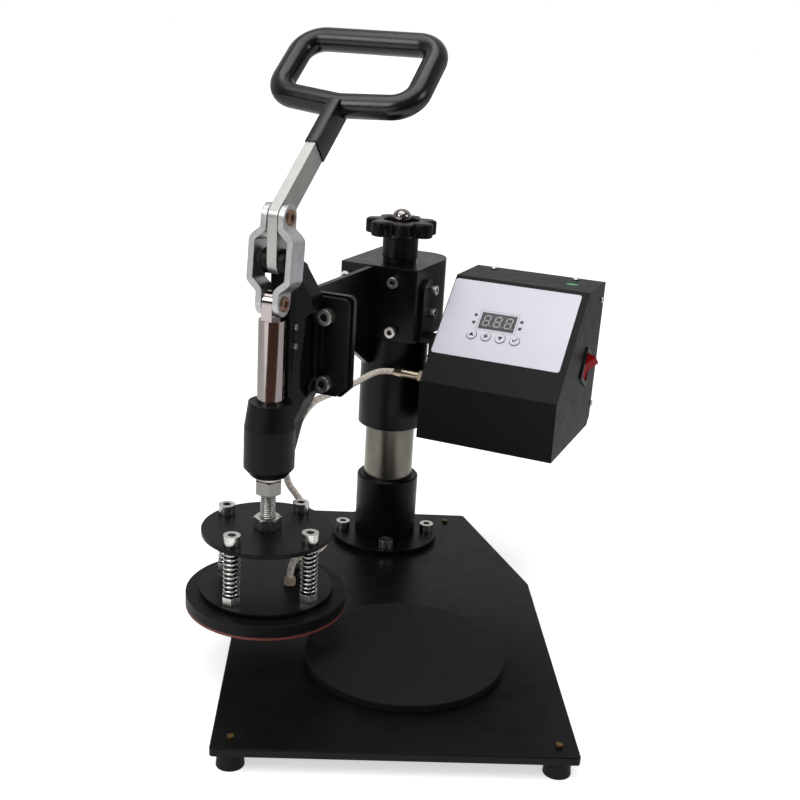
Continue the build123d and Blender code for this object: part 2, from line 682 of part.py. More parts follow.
def guide_screws():
    """Grub screws in the sides of the casting, with their ends standing out."""
    length = GUIDE_SCREW_OUTER + GUIDE_SCREW_STANDS_OUT - GUIDE_SCREW_INNER
    y = -REACH + GUIDE_SCREW_BACK
    return [
        pin(GUIDE_SCREW_RADIUS, (side * GUIDE_SCREW_INNER, y, z), (side, 0, 0), length)
        for side, z in GUIDE_SCREWS
    ]


def clamp_bolts():
    """Four cap screws through the clamp's plate, threaded into the arm's end plate."""
    screw = cap_screw(CLAMP_BOLT, MOUNT_PLATE + ARM_END_PLATE)
    return [Plane(origin=(x, MOUNT_FRONT_Y, z), z_dir=(0, -1, 0)) * screw for x, z in clamp_bolt_places]


def pivot_pin():
    """Plain pin through the ears, that the lever turns on."""
    return pin(PIVOT_PIN_RADIUS, (-EAR_HALF_WIDTH, PIVOT_Y, PIVOT_Z), (1, 0, 0), 2 * EAR_HALF_WIDTH)


def lever_direction():
    """Unit vector along the leaning part of the lever."""
    return Vector(0, sin(radians(LEVER_LEAN)), cos(radians(LEVER_LEAN)))


def lever_plane(distance):
    """A plane square to the lever's leaning part: its X is the machine's X, its Z runs up the lever."""
    place = Vector(0, PIVOT_Y, CRANK_Z) + lever_direction() * distance
    return Plane(origin=place, x_dir=(1, 0, 0), z_dir=lever_direction())


def lever_bar():
    """Flat bar bent at the crank pin, with a round end on the pivot."""
    half = LEVER_WIDTH / 2
    low = pin(half, (-LEVER_HALF_THICK, PIVOT_Y, PIVOT_Z), (1, 0, 0), 2 * LEVER_HALF_THICK)
    bend = pin(half, (-LEVER_HALF_THICK, PIVOT_Y, CRANK_Z), (1, 0, 0), 2 * LEVER_HALF_THICK)
    upright = block(-LEVER_HALF_THICK, LEVER_HALF_THICK, PIVOT_Y - half, PIVOT_Y + half, PIVOT_Z, CRANK_Z)
    flat = block(-LEVER_HALF_THICK, LEVER_HALF_THICK, -half, half, 0, LOOP_LOW_BAR)
    bar = low + bend + upright + lever_plane(0) * flat
    bar -= pin(PIVOT_PIN_RADIUS + SNUG, (-EAR_HALF_WIDTH, PIVOT_Y, PIVOT_Z), (1, 0, 0), 2 * EAR_HALF_WIDTH)
    return bar - loop_tube(LOOP_ROD_RADIUS + SNUG)


def stem_sleeve():
    """Rubber sleeve over the upper end of the bar."""
    half = LEVER_HALF_THICK + SNUG
    wide = LEVER_WIDTH / 2 + SNUG
    length = LOOP_LOW_BAR - STEM_START
    align = (Align.CENTER, Align.CENTER, Align.MIN)
    outer = Box(2 * (half + STEM_WALL), 2 * (wide + STEM_WALL), length, align=align)
    outer = fillet(outer.edges().filter_by(Axis.Z), STEM_CORNER)
    inner = Box(2 * half, 2 * wide, length + 1, align=align)
    return lever_plane(STEM_START) * (outer - inner) - loop_tube(GRIP_RADIUS + SNUG)


def loop_tube(radius):
    """A rounded rectangular ring of round section, in the plane of the lever's lean."""
    face = Plane(
        origin=Vector(0, PIVOT_Y, CRANK_Z) + lever_direction() * (LOOP_LOW_BAR + LOOP_HEIGHT / 2),
        x_dir=(1, 0, 0),
        z_dir=Vector(1, 0, 0).cross(lever_direction()),
    )
    path = RectangleRounded(LOOP_WIDTH, LOOP_HEIGHT, LOOP_CORNER).face().outer_wire()
    start = path.edges().sort_by(Axis.Y)[0].center()
    section = Plane(origin=start, z_dir=(1, 0, 0)) * Circle(radius)
    return face * sweep(section, path=path)


def handle_loop():
    """Steel rod bent to the handle."""
    return loop_tube(LOOP_ROD_RADIUS)


def handle_grip():
    """Rubber tube over the handle rod, slotted where the bar comes in."""
    slot = Box(2 * (LEVER_HALF_THICK + SNUG), LEVER_WIDTH + 2 * SNUG, 2 * GRIP_RADIUS)
    grip = loop_tube(GRIP_RADIUS) - loop_tube(LOOP_ROD_RADIUS + SNUG)
    return grip - lever_plane(LOOP_LOW_BAR - GRIP_RADIUS) * slot


def ram_rod():
    """Chromed ram with a flat tongue for the links and a threaded hole for the height stud."""
    half = LINK_INNER - TONGUE_GAP
    rod = drum(ROD_RADIUS, ROD_BOTTOM, ROD_SHOULDER, 0, -REACH)
    rod = chamfer(rod.faces().sort_by(Axis.Z)[0].edges(), ROD_CHAMFER)
    tongue = block(-half, half, -REACH - TONGUE_RADIUS, -REACH + TONGUE_RADIUS, ROD_SHOULDER, RAM_PIN_Z)
    tongue += pin(TONGUE_RADIUS, (-half, -REACH, RAM_PIN_Z), (1, 0, 0), 2 * half)
    rod += tongue
    rod -= pin(LINK_SCREW_RADIUS + SNUG, (-ROD_RADIUS, -REACH, RAM_PIN_Z), (1, 0, 0), 2 * ROD_RADIUS)
    return rod - drum(STUD_RADIUS + SNUG, ROD_BOTTOM - 1, ROD_BOTTOM + STUD_BORE_DEPTH, 0, -REACH)


def lock_nut():
    """Nut that locks the height stud against the ram."""
    nut = hex_nut(STUD_NUT_FLATS, LOCK_NUT_HEIGHT, STUD_RADIUS + SNUG)
    return Pos(0, -REACH, ROD_BOTTOM - LOCK_NUT_HEIGHT) * nut


def height_stud():
    """Threaded stud between the ram and the upper disc."""
    return drum(STUD_RADIUS, UPPER_DISC_BOTTOM, ROD_BOTTOM + STUD_IN_ROD, 0, -REACH)


def stud_nut():
    """Nut that clamps the stud to the upper disc."""
    nut = hex_nut(STUD_NUT_FLATS, STUD_NUT_HEIGHT, STUD_RADIUS + SNUG)
    return Pos(0, -REACH, UPPER_DISC_TOP) * nut


def link_plates():
    """Two pressed links that bulge outwards to clear the ears of the casting."""
    top = CRANK_Z - RAM_PIN_Z
    lean = atan2(PIVOT_OFFSET, top)
    length = hypot(PIVOT_OFFSET, top)
    near = LINK_INNER
    far = LINK_INNER + LINK_NECK
    inner = [(near, -LINK_HALF_WIDTH), (near, LINK_BEND_START), (LINK_BULGE_INNER, LINK_BEND_END)]
    outer = [(far, -LINK_HALF_WIDTH), (far, LINK_BEND_START - LINK_BEND_SHIFT)]
    outer += [(LINK_BULGE_OUTER, LINK_BEND_END - LINK_BEND_SHIFT)]
    inner += [(x, length - z) for x, z in reversed(inner)]
    outer += [(x, length - z) for x, z in reversed(outer)]
    strip = front_profile(inner + outer[::-1], -LINK_HALF_WIDTH, LINK_HALF_WIDTH)
    bulge = length / 2 - LINK_BEND_END + 2 * LINK_BEND_SHIFT
    bends = strip.edges().filter_by(Axis.Y).filter_by(lambda e: abs(e.center().Z - length / 2) < bulge)
    strip = fillet(bends, LINK_BEND_ROUND)
    outline = block(0, LINK_BULGE_OUTER, -LINK_HALF_WIDTH, LINK_HALF_WIDTH, 0, length)
    for z in (0, length):
        outline += pin(LINK_HALF_WIDTH, (0, 0, z), (1, 0, 0), LINK_BULGE_OUTER)
    plate = strip & outline
    for z in (0, length):
        plate -= pin(LINK_SCREW_RADIUS + SNUG, (0, 0, z), (1, 0, 0), LINK_BULGE_OUTER)
    turn = Pos(0, -REACH, RAM_PIN_Z) * Rot(-degrees(lean), 0, 0)
    return [turn * plate, turn * mirror(plate, Plane.YZ)]


def link_screws():
    """Lower bolt through the ram's tongue, and the crank pin's two ends, one in each link."""
    screws = []
    for side in (-1, 1):
        face = side * (LINK_INNER + LINK_NECK)
        for y, z, inner in ((-REACH, RAM_PIN_Z, 0.0), (PIVOT_Y, CRANK_Z, LINK_INNER)):
            head = pin(LINK_HEAD_RADIUS, (face, y, z), (side, 0, 0), LINK_HEAD_HEIGHT)
            socket = hex_prism(LINK_SOCKET, 0.4 * LINK_HEAD_HEIGHT, LINK_HEAD_HEIGHT + 1)
            head -= Plane(origin=(face, y, z), z_dir=(side, 0, 0)) * socket
            length = LINK_INNER + LINK_NECK - inner
            shank = pin(LINK_SCREW_RADIUS, (side * inner, y, z), (side, 0, 0), length)
            screws.append(head + shank)
    joined = [screws[0] + screws[2], screws[1], screws[3]]
    return joined


spring_places = ring_places(SPRING_BOLT_CIRCLE, 4, SPRING_BOLT_START, 0, 0, -REACH)


def pressure_disc():
    """Upper disc, that the spring bolts hang from."""
    disc = tube(UPPER_DISC_RADIUS, STUD_RADIUS + SNUG, UPPER_DISC_BOTTOM, UPPER_DISC_TOP, 0, -REACH)
    for x, y, z in spring_places:
        disc -= drum(SPRING_BOLT + SIDE_PLAY, 0, UPPER_DISC_TOP + 1, x, y)
    return disc


def spring_bolts():
    """Cap screws that hang the platen from the upper disc."""
    screw = cap_screw(SPRING_BOLT, UPPER_DISC_TOP - BACKING_BOTTOM)
    return [Pos(x, y, UPPER_DISC_TOP) * screw for x, y, z in spring_places]


def spring_nuts():
    """Nuts on the backing disc, that the springs stand on."""
    nut = hex_prism(NUT_FLATS_M8, 0, NUT_HEIGHT_M8) - drum(SPRING_BOLT + SNUG, -1, NUT_HEIGHT_M8 + 1)
    return [Pos(x, y, BACKING_TOP) * nut for x, y, z in spring_places]


def backing_disc():
    """Disc bolted down on the heating plate."""
    disc = drum(BACKING_RADIUS, BACKING_BOTTOM, BACKING_TOP, 0, -REACH)
    for x, y, z in spring_places:
        disc -= drum(SPRING_BOLT + SNUG, 0, BACKING_TOP + 1, x, y)
    return disc


def heating_plate():
    """Aluminium plate with a groove for the element and a hole for the probe."""
    plate = drum(HEATER_RADIUS, PLATEN_BOTTOM, BACKING_BOTTOM, 0, -REACH)
    plate = chamfer(plate.faces().sort_by(Axis.Z)[-1].edges(), HEATER_CHAMFER)
    floor = BACKING_BOTTOM - ELEMENT_DEPTH
    groove = tube(ELEMENT_OUTER, ELEMENT_INNER, floor, BACKING_BOTTOM + 1, 0, -REACH)
    rim = tube(HEATER_RADIUS + 1, HEATER_RADIUS - RIM_DEPTH, 0, PLATEN_BOTTOM + RIM_HEIGHT, 0, -REACH)
    probe = pin(PROBE_RADIUS + SNUG, probe_start(), (0, -1, 0), PROBE_LENGTH + 1)
    return plate - groove - rim - probe


def probe_start():
    """Mouth of the probe's hole, at the rear of the heating plate."""
    return (0, -REACH + HEATER_RADIUS, PROBE_Z)


def platen_rim():
    """Reddish rubber band let into the lower edge of the heating plate."""
    inner = HEATER_RADIUS - RIM_DEPTH + SNUG
    return tube(HEATER_RADIUS, inner, PLATEN_BOTTOM, PLATEN_BOTTOM + RIM_HEIGHT, 0, -REACH)


def heater_element():
    """Flat ring element in the groove, under the backing disc."""
    low = BACKING_BOTTOM - ELEMENT_DEPTH
    return tube(ELEMENT_OUTER - SNUG, ELEMENT_INNER + SNUG, low, BACKING_BOTTOM, 0, -REACH)


def thermocouple():
    """Temperature probe in its hole."""
    return pin(PROBE_RADIUS, probe_start(), (0, -1, 0), PROBE_LENGTH)


def cable_sleeve():
    """Collar on the backing disc that the heater cable goes into."""
    sleeve = drum(CABLE_SLEEVE_RADIUS, BACKING_TOP, BACKING_TOP + CABLE_SLEEVE_HEIGHT)
    return Pos(CABLE_SLEEVE_X, behind(CABLE_SLEEVE_BACK), 0) * sleeve


def unit(vector):
    """A vector of length one along another."""
    return vector / vector.length


def biarc(start, start_way, end, end_way):
    """Two arcs that leave one point along one direction and reach another along another."""
    span = end - start
    ways = start_way + end_way
    turn = 2 * (1 - start_way.dot(end_way))
    reach = (sqrt(span.dot(ways) ** 2 + turn * span.dot(span)) - span.dot(ways)) / turn
    middle = (start + end + (start_way - end_way) * reach) / 2
    middle_way = unit((end - end_way * reach) - (start + start_way * reach))
    first = TangentArc(start, middle, tangent=start_way)
    second = TangentArc(middle, end, tangent=middle_way)
    return [first.edge(), second.edge()]


def spring_line():
    """Middle line of one spring: straight ends, a bend at each, and turns made of half-turn biarcs."""
    low = BACKING_TOP + NUT_HEIGHT_M8
    high = UPPER_DISC_BOTTOM
    radius = SPRING_RADIUS - WIRE_RADIUS
    pitch = (high - low - 2 * SPRING_END) / SPRING_TURNS
    slope = atan2(pitch, 2 * pi * radius)
    steps = 2 * SPRING_TURNS

    def place(i):
        turn = i * pi
        return Vector(radius * cos(turn), radius * sin(turn), low + SPRING_END + i * pitch / 2)

    def way(i):
        turn = i * pi
        return Vector(-sin(turn) * cos(slope), cos(turn) * cos(slope), sin(slope))

    up = Vector(0, 0, 1)
    lead = (SPRING_END - 2 * WIRE_RADIUS) / (1 + sin(slope))
    foot = place(0) - (way(0) + up) * lead
    cap = place(steps) + (way(steps) + up) * lead
    edges = [Line(Vector(foot.X, foot.Y, low), foot).edge()]
    edges.append(TangentArc(foot, place(0), tangent=up).edge())
    for i in range(steps):
        edges += biarc(place(i), way(i), place(i + 1), way(i + 1))
    edges.append(TangentArc(place(steps), cap, tangent=way(steps)).edge())
    edges.append(Line(cap, Vector(cap.X, cap.Y, high)).edge())
    line = Wire(edges)
    count = 40 * SPRING_TURNS
    points = [line.position_at(i / count) for i in range(count + 1)]
    apart = [(a - b).length for i, a in enumerate(points) for b in points[i + 25:]]
    print("spring least gap to itself, mm:", round(min(apart) - 2 * WIRE_RADIUS, 2))
    return line


def pressure_springs():
    """Four coil springs between the nuts and the upper disc."""
    line = spring_line()
    start = line.position_at(0)
    wire = RegularPolygon(radius=WIRE_RADIUS, side_count=WIRE_SIDES)
    spring = sweep(Plane(origin=start, z_dir=(0, 0, 1)) * wire, path=line)
    return [Pos(x, y, 0) * spring for x, y, z in spring_places]


def knob_washer():
    """Thick washer between the knob and the turret."""
    return tube(WASHER_RADIUS, KNOB_SCREW_RADIUS + LOOSE, TURRET_TOP, KNOB_BASE)


def star_knob():
    """Moulded star knob with a round recess in its top."""
    head = Circle(KNOB_RADIUS)
    for x, y, z in ring_places(KNOB_SCALLOP_CENTRE, KNOB_LOBES, 30, 0):
        head -= Pos(x, y) * Circle(KNOB_SCALLOP_RADIUS)
    head = extrude(Plane.XY.offset(KNOB_BASE + KNOB_HUB_HEIGHT) * head, KNOB_HEAD_HEIGHT)
    head = fillet(head.edges().filter_by(Axis.Z), KNOB_EDGE_ROUND)
    head = chamfer(head.faces().sort_by(Axis.Z)[-1].edges(), KNOB_TOP_CHAMFER)
    knob = head + drum(KNOB_HUB_RADIUS, KNOB_BASE, KNOB_BASE + KNOB_HUB_HEIGHT)
    knob -= drum(KNOB_RECESS_RADIUS, KNOB_TOP - KNOB_RECESS_DEPTH, KNOB_TOP + 1)
    return knob - drum(KNOB_SCREW_RADIUS + SNUG, 0, KNOB_TOP)


def knob_screw():
    """Dome headed screw through the knob into the column."""
    low = KNOB_TOP - KNOB_RECESS_DEPTH
    skirt = low + DOME_SKIRT
    dome = (DOME_RADIUS**2 + DOME_RISE**2) / (2 * DOME_RISE)
    cap = Pos(0, 0, skirt + DOME_RISE - dome) * Sphere(dome)
    cap = cap & drum(DOME_RADIUS, skirt, skirt + DOME_RISE + 1)
    shank = drum(KNOB_SCREW_RADIUS, COLUMN_TOP - KNOB_SCREW_IN_POST, low)
    return cap + drum(DOME_RADIUS, low, skirt) + shank


# Controller
case_outline = [(CASE_FRONT, CASE_BOTTOM), (CASE_FRONT, CASE_FOLD_Z)]
case_outline += [(CASE_TOP_FRONT, CASE_TOP), (CASE_TOP_REAR, CASE_TOP)]
case_outline += [(CASE_LOW_REAR, CASE_LOW_REAR_Z), (CASE_FLOOR_REAR, CASE_BOTTOM)]
PANEL_RUN = hypot(CASE_TOP_FRONT - CASE_FRONT, CASE_TOP - CASE_FOLD_Z)
PANEL_UP = Vector(0, (CASE_TOP_FRONT - CASE_FRONT) / PANEL_RUN, (CASE_TOP - CASE_FOLD_Z) / PANEL_RUN)
PANEL_OUT = Vector(0, -PANEL_UP.Z, PANEL_UP.Y)
panel = Plane(origin=(CASE_LEFT, CASE_FRONT, CASE_FOLD_Z), x_dir=(1, 0, 0), z_dir=PANEL_OUT)
BACK_RUN = hypot(CASE_TOP_REAR - CASE_LOW_REAR, CASE_TOP - CASE_LOW_REAR_Z)
BACK_OUT = Vector(0, (CASE_TOP - CASE_LOW_REAR_Z) / BACK_RUN, -(CASE_TOP_REAR - CASE_LOW_REAR) / BACK_RUN)
BACK_UP = Vector(0, (CASE_TOP_REAR - CASE_LOW_REAR) / BACK_RUN, (CASE_TOP - CASE_LOW_REAR_Z) / BACK_RUN)
back = Plane(
    origin=Vector(INLET_X, CASE_LOW_REAR, CASE_LOW_REAR_Z) + BACK_UP * INLET_UP,
    x_dir=(-1, 0, 0),
    z_dir=BACK_OUT,
)
side = Plane(
    origin=(CASE_RIGHT, SWITCH_Y, SWITCH_Z),
    x_dir=(0, sin(radians(SWITCH_LEAN)), cos(radians(SWITCH_LEAN))),
    z_dir=(1, 0, 0),
)


def case_solid(inset, x_low, x_high):
    """The case's side outline, drawn in by an inset, extruded between two planes."""
    outline = Plane.YZ.offset(x_low) * Polygon(*case_outline, align=None)
    if inset:
        outline = offset(outline, amount=-inset, kind=Kind.INTERSECTION)
    return extrude(outline, x_high - x_low, dir=(1, 0, 0))


def panel_box(x, up, width, height, low, high):
    """A box square to the sloping panel, centred at x across and up along it."""
    shape = Box(width, height, high - low, align=(Align.CENTER, Align.CENTER, Align.MIN))
    return panel * Pos(x, up, low) * shape


def panel_drum(x, up, radius, low, high):
    """A cylinder square to the sloping panel."""
    return panel * drum(radius, low, high, x, up)


def panel_holes(body):
    """Openings for the display, the buttons and the lamps."""
    body -= panel_box(DISPLAY_X, DISPLAY_UP, DISPLAY_WIDTH + 0.2, DISPLAY_HEIGHT + 0.2, -5, 5)
    for x in BUTTON_XS:
        body -= panel_drum(x, BUTTON_UP, BUTTON_RADIUS + SIDE_PLAY, -5, 5)
    for x, up in LED_PLACES:
        body -= panel_drum(x, up, LED_RADIUS + SNUG, -5, 5)
    return body


board_posts = [
    (DISPLAY_X + a * (BOARD_WIDTH / 2 - POST_INSET), BOARD_UP + b * (BOARD_HEIGHT / 2 - POST_INSET))
    for a in (-1, 1)
    for b in (-1, 1)
]


def controller_case():
    """Folded sheet case: front, sloping panel, top, floor and both sides, open at the back."""
    case = case_solid(0, CASE_LEFT, CASE_RIGHT)
    inner = case_solid(CASE_WALL, CASE_LEFT + CASE_WALL, CASE_RIGHT - CASE_WALL)
    case = case - inner - Pos(0, 6, 0) * inner
    for x, up in board_posts:
        case += panel_drum(x, up, POST_RADIUS, -CASE_WALL - BOARD_GAP, -CASE_WALL / 2)
    case = panel_holes(case)
    case -= side * Pos(0, 0, -5) * Box(SWITCH_BODY_LONG + 0.2, SWITCH_BODY_SHORT + 0.2, 20)
    case -= pin(GLAND_THREAD_RADIUS + SNUG, (CASE_LEFT - 1, GLAND_Y, GLAND_Z), (1, 0, 0), 10)
    for z in BRACKET_LOW_ZS:
        case -= pin(BRACKET_SCREW + SNUG, (CASE_LEFT - 1, BRACKET_Y, z), (1, 0, 0), 10)
    for hole in case_screw_holes():
        case -= hole
    return case


def case_screw_places():
    """Seat and direction of each case screw: two on each side and two on top."""
    places = [((CASE_RIGHT, CASE_SCREW_Y, z), (1, 0, 0)) for z in CASE_SCREW_ZS]
    places += [((CASE_LEFT, CASE_SCREW_Y, z), (-1, 0, 0)) for z in CASE_SCREW_ZS]
    places += [((CASE_LEFT + x, CASE_SCREW_Y, CASE_TOP), (0, 0, 1)) for x in CASE_SCREW_INSETS]
    return places


def case_screw_holes():
    """Holes for the case screws in the case and in the back cover's flange."""
    return [
        pin(CASE_SCREW_RADIUS + SNUG, Vector(*seat) + Vector(*out), -Vector(*out), 8)
        for seat, out in case_screw_places()
    ]


def case_screws():
    """Pan head screws."""
    screws = []
    for seat, out in case_screw_places():
        head = drum(CASE_SCREW_HEAD_RADIUS, 0, CASE_SCREW_HEAD_HEIGHT)
        head = chamfer(head.faces().sort_by(Axis.Z)[-1].edges(), CASE_SCREW_HEAD_HEIGHT / 2)
        screw = head + drum(CASE_SCREW_RADIUS, -CASE_SCREW_LENGTH, 0)
        screws.append(Plane(origin=seat, z_dir=out) * screw)
    return screws


def controller_back():
    """Back cover with a flange all round inside the case."""
    gap = CASE_WALL + SNUG
    outer = case_solid(gap, CASE_LEFT + gap, CASE_RIGHT - gap)
    outer += Pos(0, 3, 0) * outer
    outer &= case_solid(0, CASE_LEFT, CASE_RIGHT)
    flange = gap + BACK_FLANGE_WALL
    hollow = case_solid(flange, CASE_LEFT + flange, CASE_RIGHT - flange)
    cover = outer - hollow
    front = CASE_LOW_REAR - BACK_FLANGE
    cover -= block(CASE_LEFT, CASE_RIGHT, CASE_FRONT - 1, front, CASE_BOTTOM - 1, CASE_TOP + 1)
    cover -= back * Box(INLET_BODY_WIDTH + 0.2, INLET_BODY_HEIGHT + 0.2, 20)
    for hole in case_screw_holes():
        cover -= hole
    return cover


def panel_label():
    """Thin printed sheet on the panel."""
    width = LABEL_RIGHT - LABEL_LEFT
    height = LABEL_HIGH - LABEL_LOW
    sheet = extrude(RectangleRounded(width, height, LABEL_CORNER), LABEL_THICK)
    middle = Pos((LABEL_LEFT + LABEL_RIGHT) / 2, (LABEL_LOW + LABEL_HIGH) / 2, 0)
    return panel_holes(panel * middle * sheet)


def display_module():
    """Display block that stands on the circuit board and shows through the panel."""
    top = LABEL_THICK + DISPLAY_PROUD
    return panel_box(DISPLAY_X, DISPLAY_UP, DISPLAY_WIDTH, DISPLAY_HEIGHT, -CASE_WALL - BOARD_GAP, top)


def led_lamps():
    """Four round lamps that stand on the circuit board."""
    top = LABEL_THICK + DISPLAY_PROUD
    return [panel_drum(x, up, LED_RADIUS, -CASE_WALL - BOARD_GAP, top) for x, up in LED_PLACES]


def circuit_board():
    """Board on four posts behind the panel, with a plunger switch under each button."""
    low = -CASE_WALL - BOARD_GAP - BOARD_THICK
    board = panel_box(DISPLAY_X, BOARD_UP, BOARD_WIDTH, BOARD_HEIGHT, low, low + BOARD_THICK)
    top = low + BOARD_THICK + PLUNGER_HEIGHT
    for x in BUTTON_XS:
        board += panel_box(x, BUTTON_UP, PLUNGER_SIZE, PLUNGER_SIZE, low + BOARD_THICK / 2, top)
    return board


def button(x):
    """Round push button with a retaining collar behind the panel."""
    top = LABEL_THICK + BUTTON_PROUD
    low = -CASE_WALL - BOARD_GAP + PLUNGER_HEIGHT + BUTTON_TRAVEL + SIDE_PLAY
    cap = drum(BUTTON_RADIUS, -CASE_WALL - 1, top)
    cap = chamfer(cap.faces().sort_by(Axis.Z)[-1].edges(), BUTTON_CHAMFER)
    collar = drum(BUTTON_RADIUS + BUTTON_COLLAR, -CASE_WALL - 2 * BUTTON_COLLAR, -CASE_WALL - SIDE_PLAY)
    stem = drum(BUTTON_STEM, low, -CASE_WALL - BUTTON_COLLAR)
    return panel * Pos(x, BUTTON_UP, 0) * (cap + collar + stem)


def rocker_bezel():
    """Switch frame and body in the case's right side."""
    lip = Box(BEZEL_LONG, BEZEL_SHORT, BEZEL_PROUD, align=(Align.CENTER, Align.CENTER, Align.MIN))
    lip = fillet(lip.edges().filter_by(Axis.Z), BEZEL_CORNER)
    lip = chamfer(lip.faces().sort_by(Axis.Z)[-1].edges(), BEZEL_CHAMFER)
    body = Pos(0, 0, -SWITCH_BODY_DEPTH / 2) * Box(SWITCH_BODY_LONG, SWITCH_BODY_SHORT, SWITCH_BODY_DEPTH)
    well_long = 2 * (ROCKER_RADIUS + SIDE_PLAY * 2)
    well_wide = ROCKER_WIDTH + SIDE_PLAY * 4
    deep = ROCKER_PIVOT_DEPTH + ROCKER_WELL
    half = well_wide / 2
    well = block(-well_long / 2, well_long / 2, -half, half, -deep, BEZEL_PROUD + 1)
    frame = lip + body - well
    axle = ROCKER_WIDTH + ROCKER_PIN_OVER + 2 * SNUG
    frame -= pin(ROCKER_PIN_RADIUS + SNUG, (0, -axle / 2, -ROCKER_PIVOT_DEPTH), (0, 1, 0), axle)
    return side * frame


def power_rocker():
    """Red rocker, tilted to its off position."""
    far = ROCKER_RADIUS
    points = [(-far, -ROCKER_UNDER), (-far, ROCKER_HORN), (0, ROCKER_DIP)]
    points += [(far, ROCKER_HORN), (far, -ROCKER_UNDER)]
    face = Polygon(*points, align=None) & Circle(ROCKER_RADIUS)
    cap = extrude(face, ROCKER_WIDTH / 2, both=True)
    cap += Cylinder(ROCKER_PIN_RADIUS, ROCKER_WIDTH + ROCKER_PIN_OVER)
    upright = Plane(origin=(0, 0, -ROCKER_PIVOT_DEPTH), x_dir=(1, 0, 0), z_dir=(0, -1, 0))
    return side * upright * Rot(0, 0, ROCKER_TILT) * cap


def cable_gland():
    """Plated gland on the left side of the case, with its hexagon, body and nose."""
    seat = Plane(origin=(CASE_LEFT, GLAND_Y, GLAND_Z), z_dir=(-1, 0, 0))
    shoulder = GLAND_LENGTH - GLAND_NOSE
    body = hex_prism(GLAND_HEX, 0, GLAND_HEX_HEIGHT) + drum(GLAND_RADIUS, GLAND_HEX_HEIGHT, shoulder)
    nose = Cone(GLAND_RADIUS + GLAND_LIP, CABLE_RADIUS + GLAND_LIP, GLAND_NOSE)
    nose = Pos(0, 0, shoulder + GLAND_NOSE / 2) * nose
    thread = drum(GLAND_THREAD_RADIUS, -CASE_WALL - GLAND_THREAD_LENGTH, 0)
    return seat * (body + nose + thread)


def heater_relay():
    """Solid state relay on the floor of the case."""
    long, wide, tall = RELAY_SIZE
    low = CASE_BOTTOM + CASE_WALL
    body = Box(wide, long, tall, align=(Align.CENTER, Align.CENTER, Align.MIN))
    return Pos(RELAY_X, RELAY_Y, low) * body


def mains_inlet():
    """Three pin inlet in the back cover, with a well for the plug."""
    align = (Align.CENTER, Align.CENTER, Align.MIN)
    lip = Box(INLET_WIDTH, INLET_HEIGHT, INLET_LIP, align=align)
    lip = fillet(lip.edges().filter_by(Axis.Z), INLET_CORNER)
    depth = INLET_BODY_DEPTH
    body = Pos(0, 0, -depth) * Box(INLET_BODY_WIDTH, INLET_BODY_HEIGHT, depth, align=align)
    well = Box(INLET_WELL_WIDTH, INLET_WELL_HEIGHT, INLET_WELL_DEPTH + INLET_LIP + 1, align=align)
    top = well.edges().filter_by(Axis.Z).filter_by(lambda e: e.center().Y > 0)
    well = Pos(0, 0, -INLET_WELL_DEPTH) * chamfer(top, INLET_WELL_CHAMFER)
    inlet = lip + body - well
    for x, y in INLET_PINS:
        blade = Box(INLET_PIN_THICK, INLET_PIN_WIDE, INLET_PIN_LENGTH + 1, align=align)
        inlet += Pos(x, y, -INLET_WELL_DEPTH - 1) * blade
    return back * inlet


def controller_bracket():
    """Cranked strip from the turret's right side to the left side of the case."""
    low = BRACKET_Y - BRACKET_WIDTH / 2
    high = BRACKET_Y + BRACKET_WIDTH / 2
    outer = CASE_LEFT
    inner = TURRET_RIGHT
    strip = block(inner, inner + BRACKET_THICK, low, high, TURRET_BOTTOM, BRACKET_TOP)
    strip = fillet(strip.edges().filter_by(Axis.X).group_by(Axis.Z)[-1], BRACKET_WIDTH / 2 - 0.1)
    shelf = block(inner, outer, low, high, TURRET_BOTTOM, TURRET_BOTTOM + BRACKET_THICK)
    tab = block(outer - BRACKET_THICK, outer, low, high, BRACKET_FOOT, TURRET_BOTTOM + BRACKET_THICK)
    bracket = strip + shelf + tab
    for z in BRACKET_SCREW_ZS:
        bracket -= pin(BRACKET_SCREW + SNUG, (0, BRACKET_SCREW_Y, z), (1, 0, 0), 60)
    for z in BRACKET_LOW_ZS:
        bracket -= pin(BRACKET_SCREW + SNUG, (30, BRACKET_Y, z), (1, 0, 0), 60)
    return bracket


def bracket_screws():
    """Two screws into the turret and two into the case."""
    screws = []
    for z in BRACKET_SCREW_ZS:
        seat = Plane(origin=(TURRET_RIGHT + BRACKET_THICK, BRACKET_SCREW_Y, z), z_dir=(1, 0, 0))
        screws.append(seat * cap_screw(BRACKET_SCREW, BRACKET_THICK + BRACKET_SCREW_GRIP))
    for z in BRACKET_LOW_ZS:
        seat = Plane(origin=(CASE_LEFT - BRACKET_THICK, BRACKET_Y, z), z_dir=(-1, 0, 0))
        screws.append(seat * cap_screw(BRACKET_SCREW, BRACKET_THICK + CASE_WALL + BRACKET_SCREW_IN_CASE))
    return screws


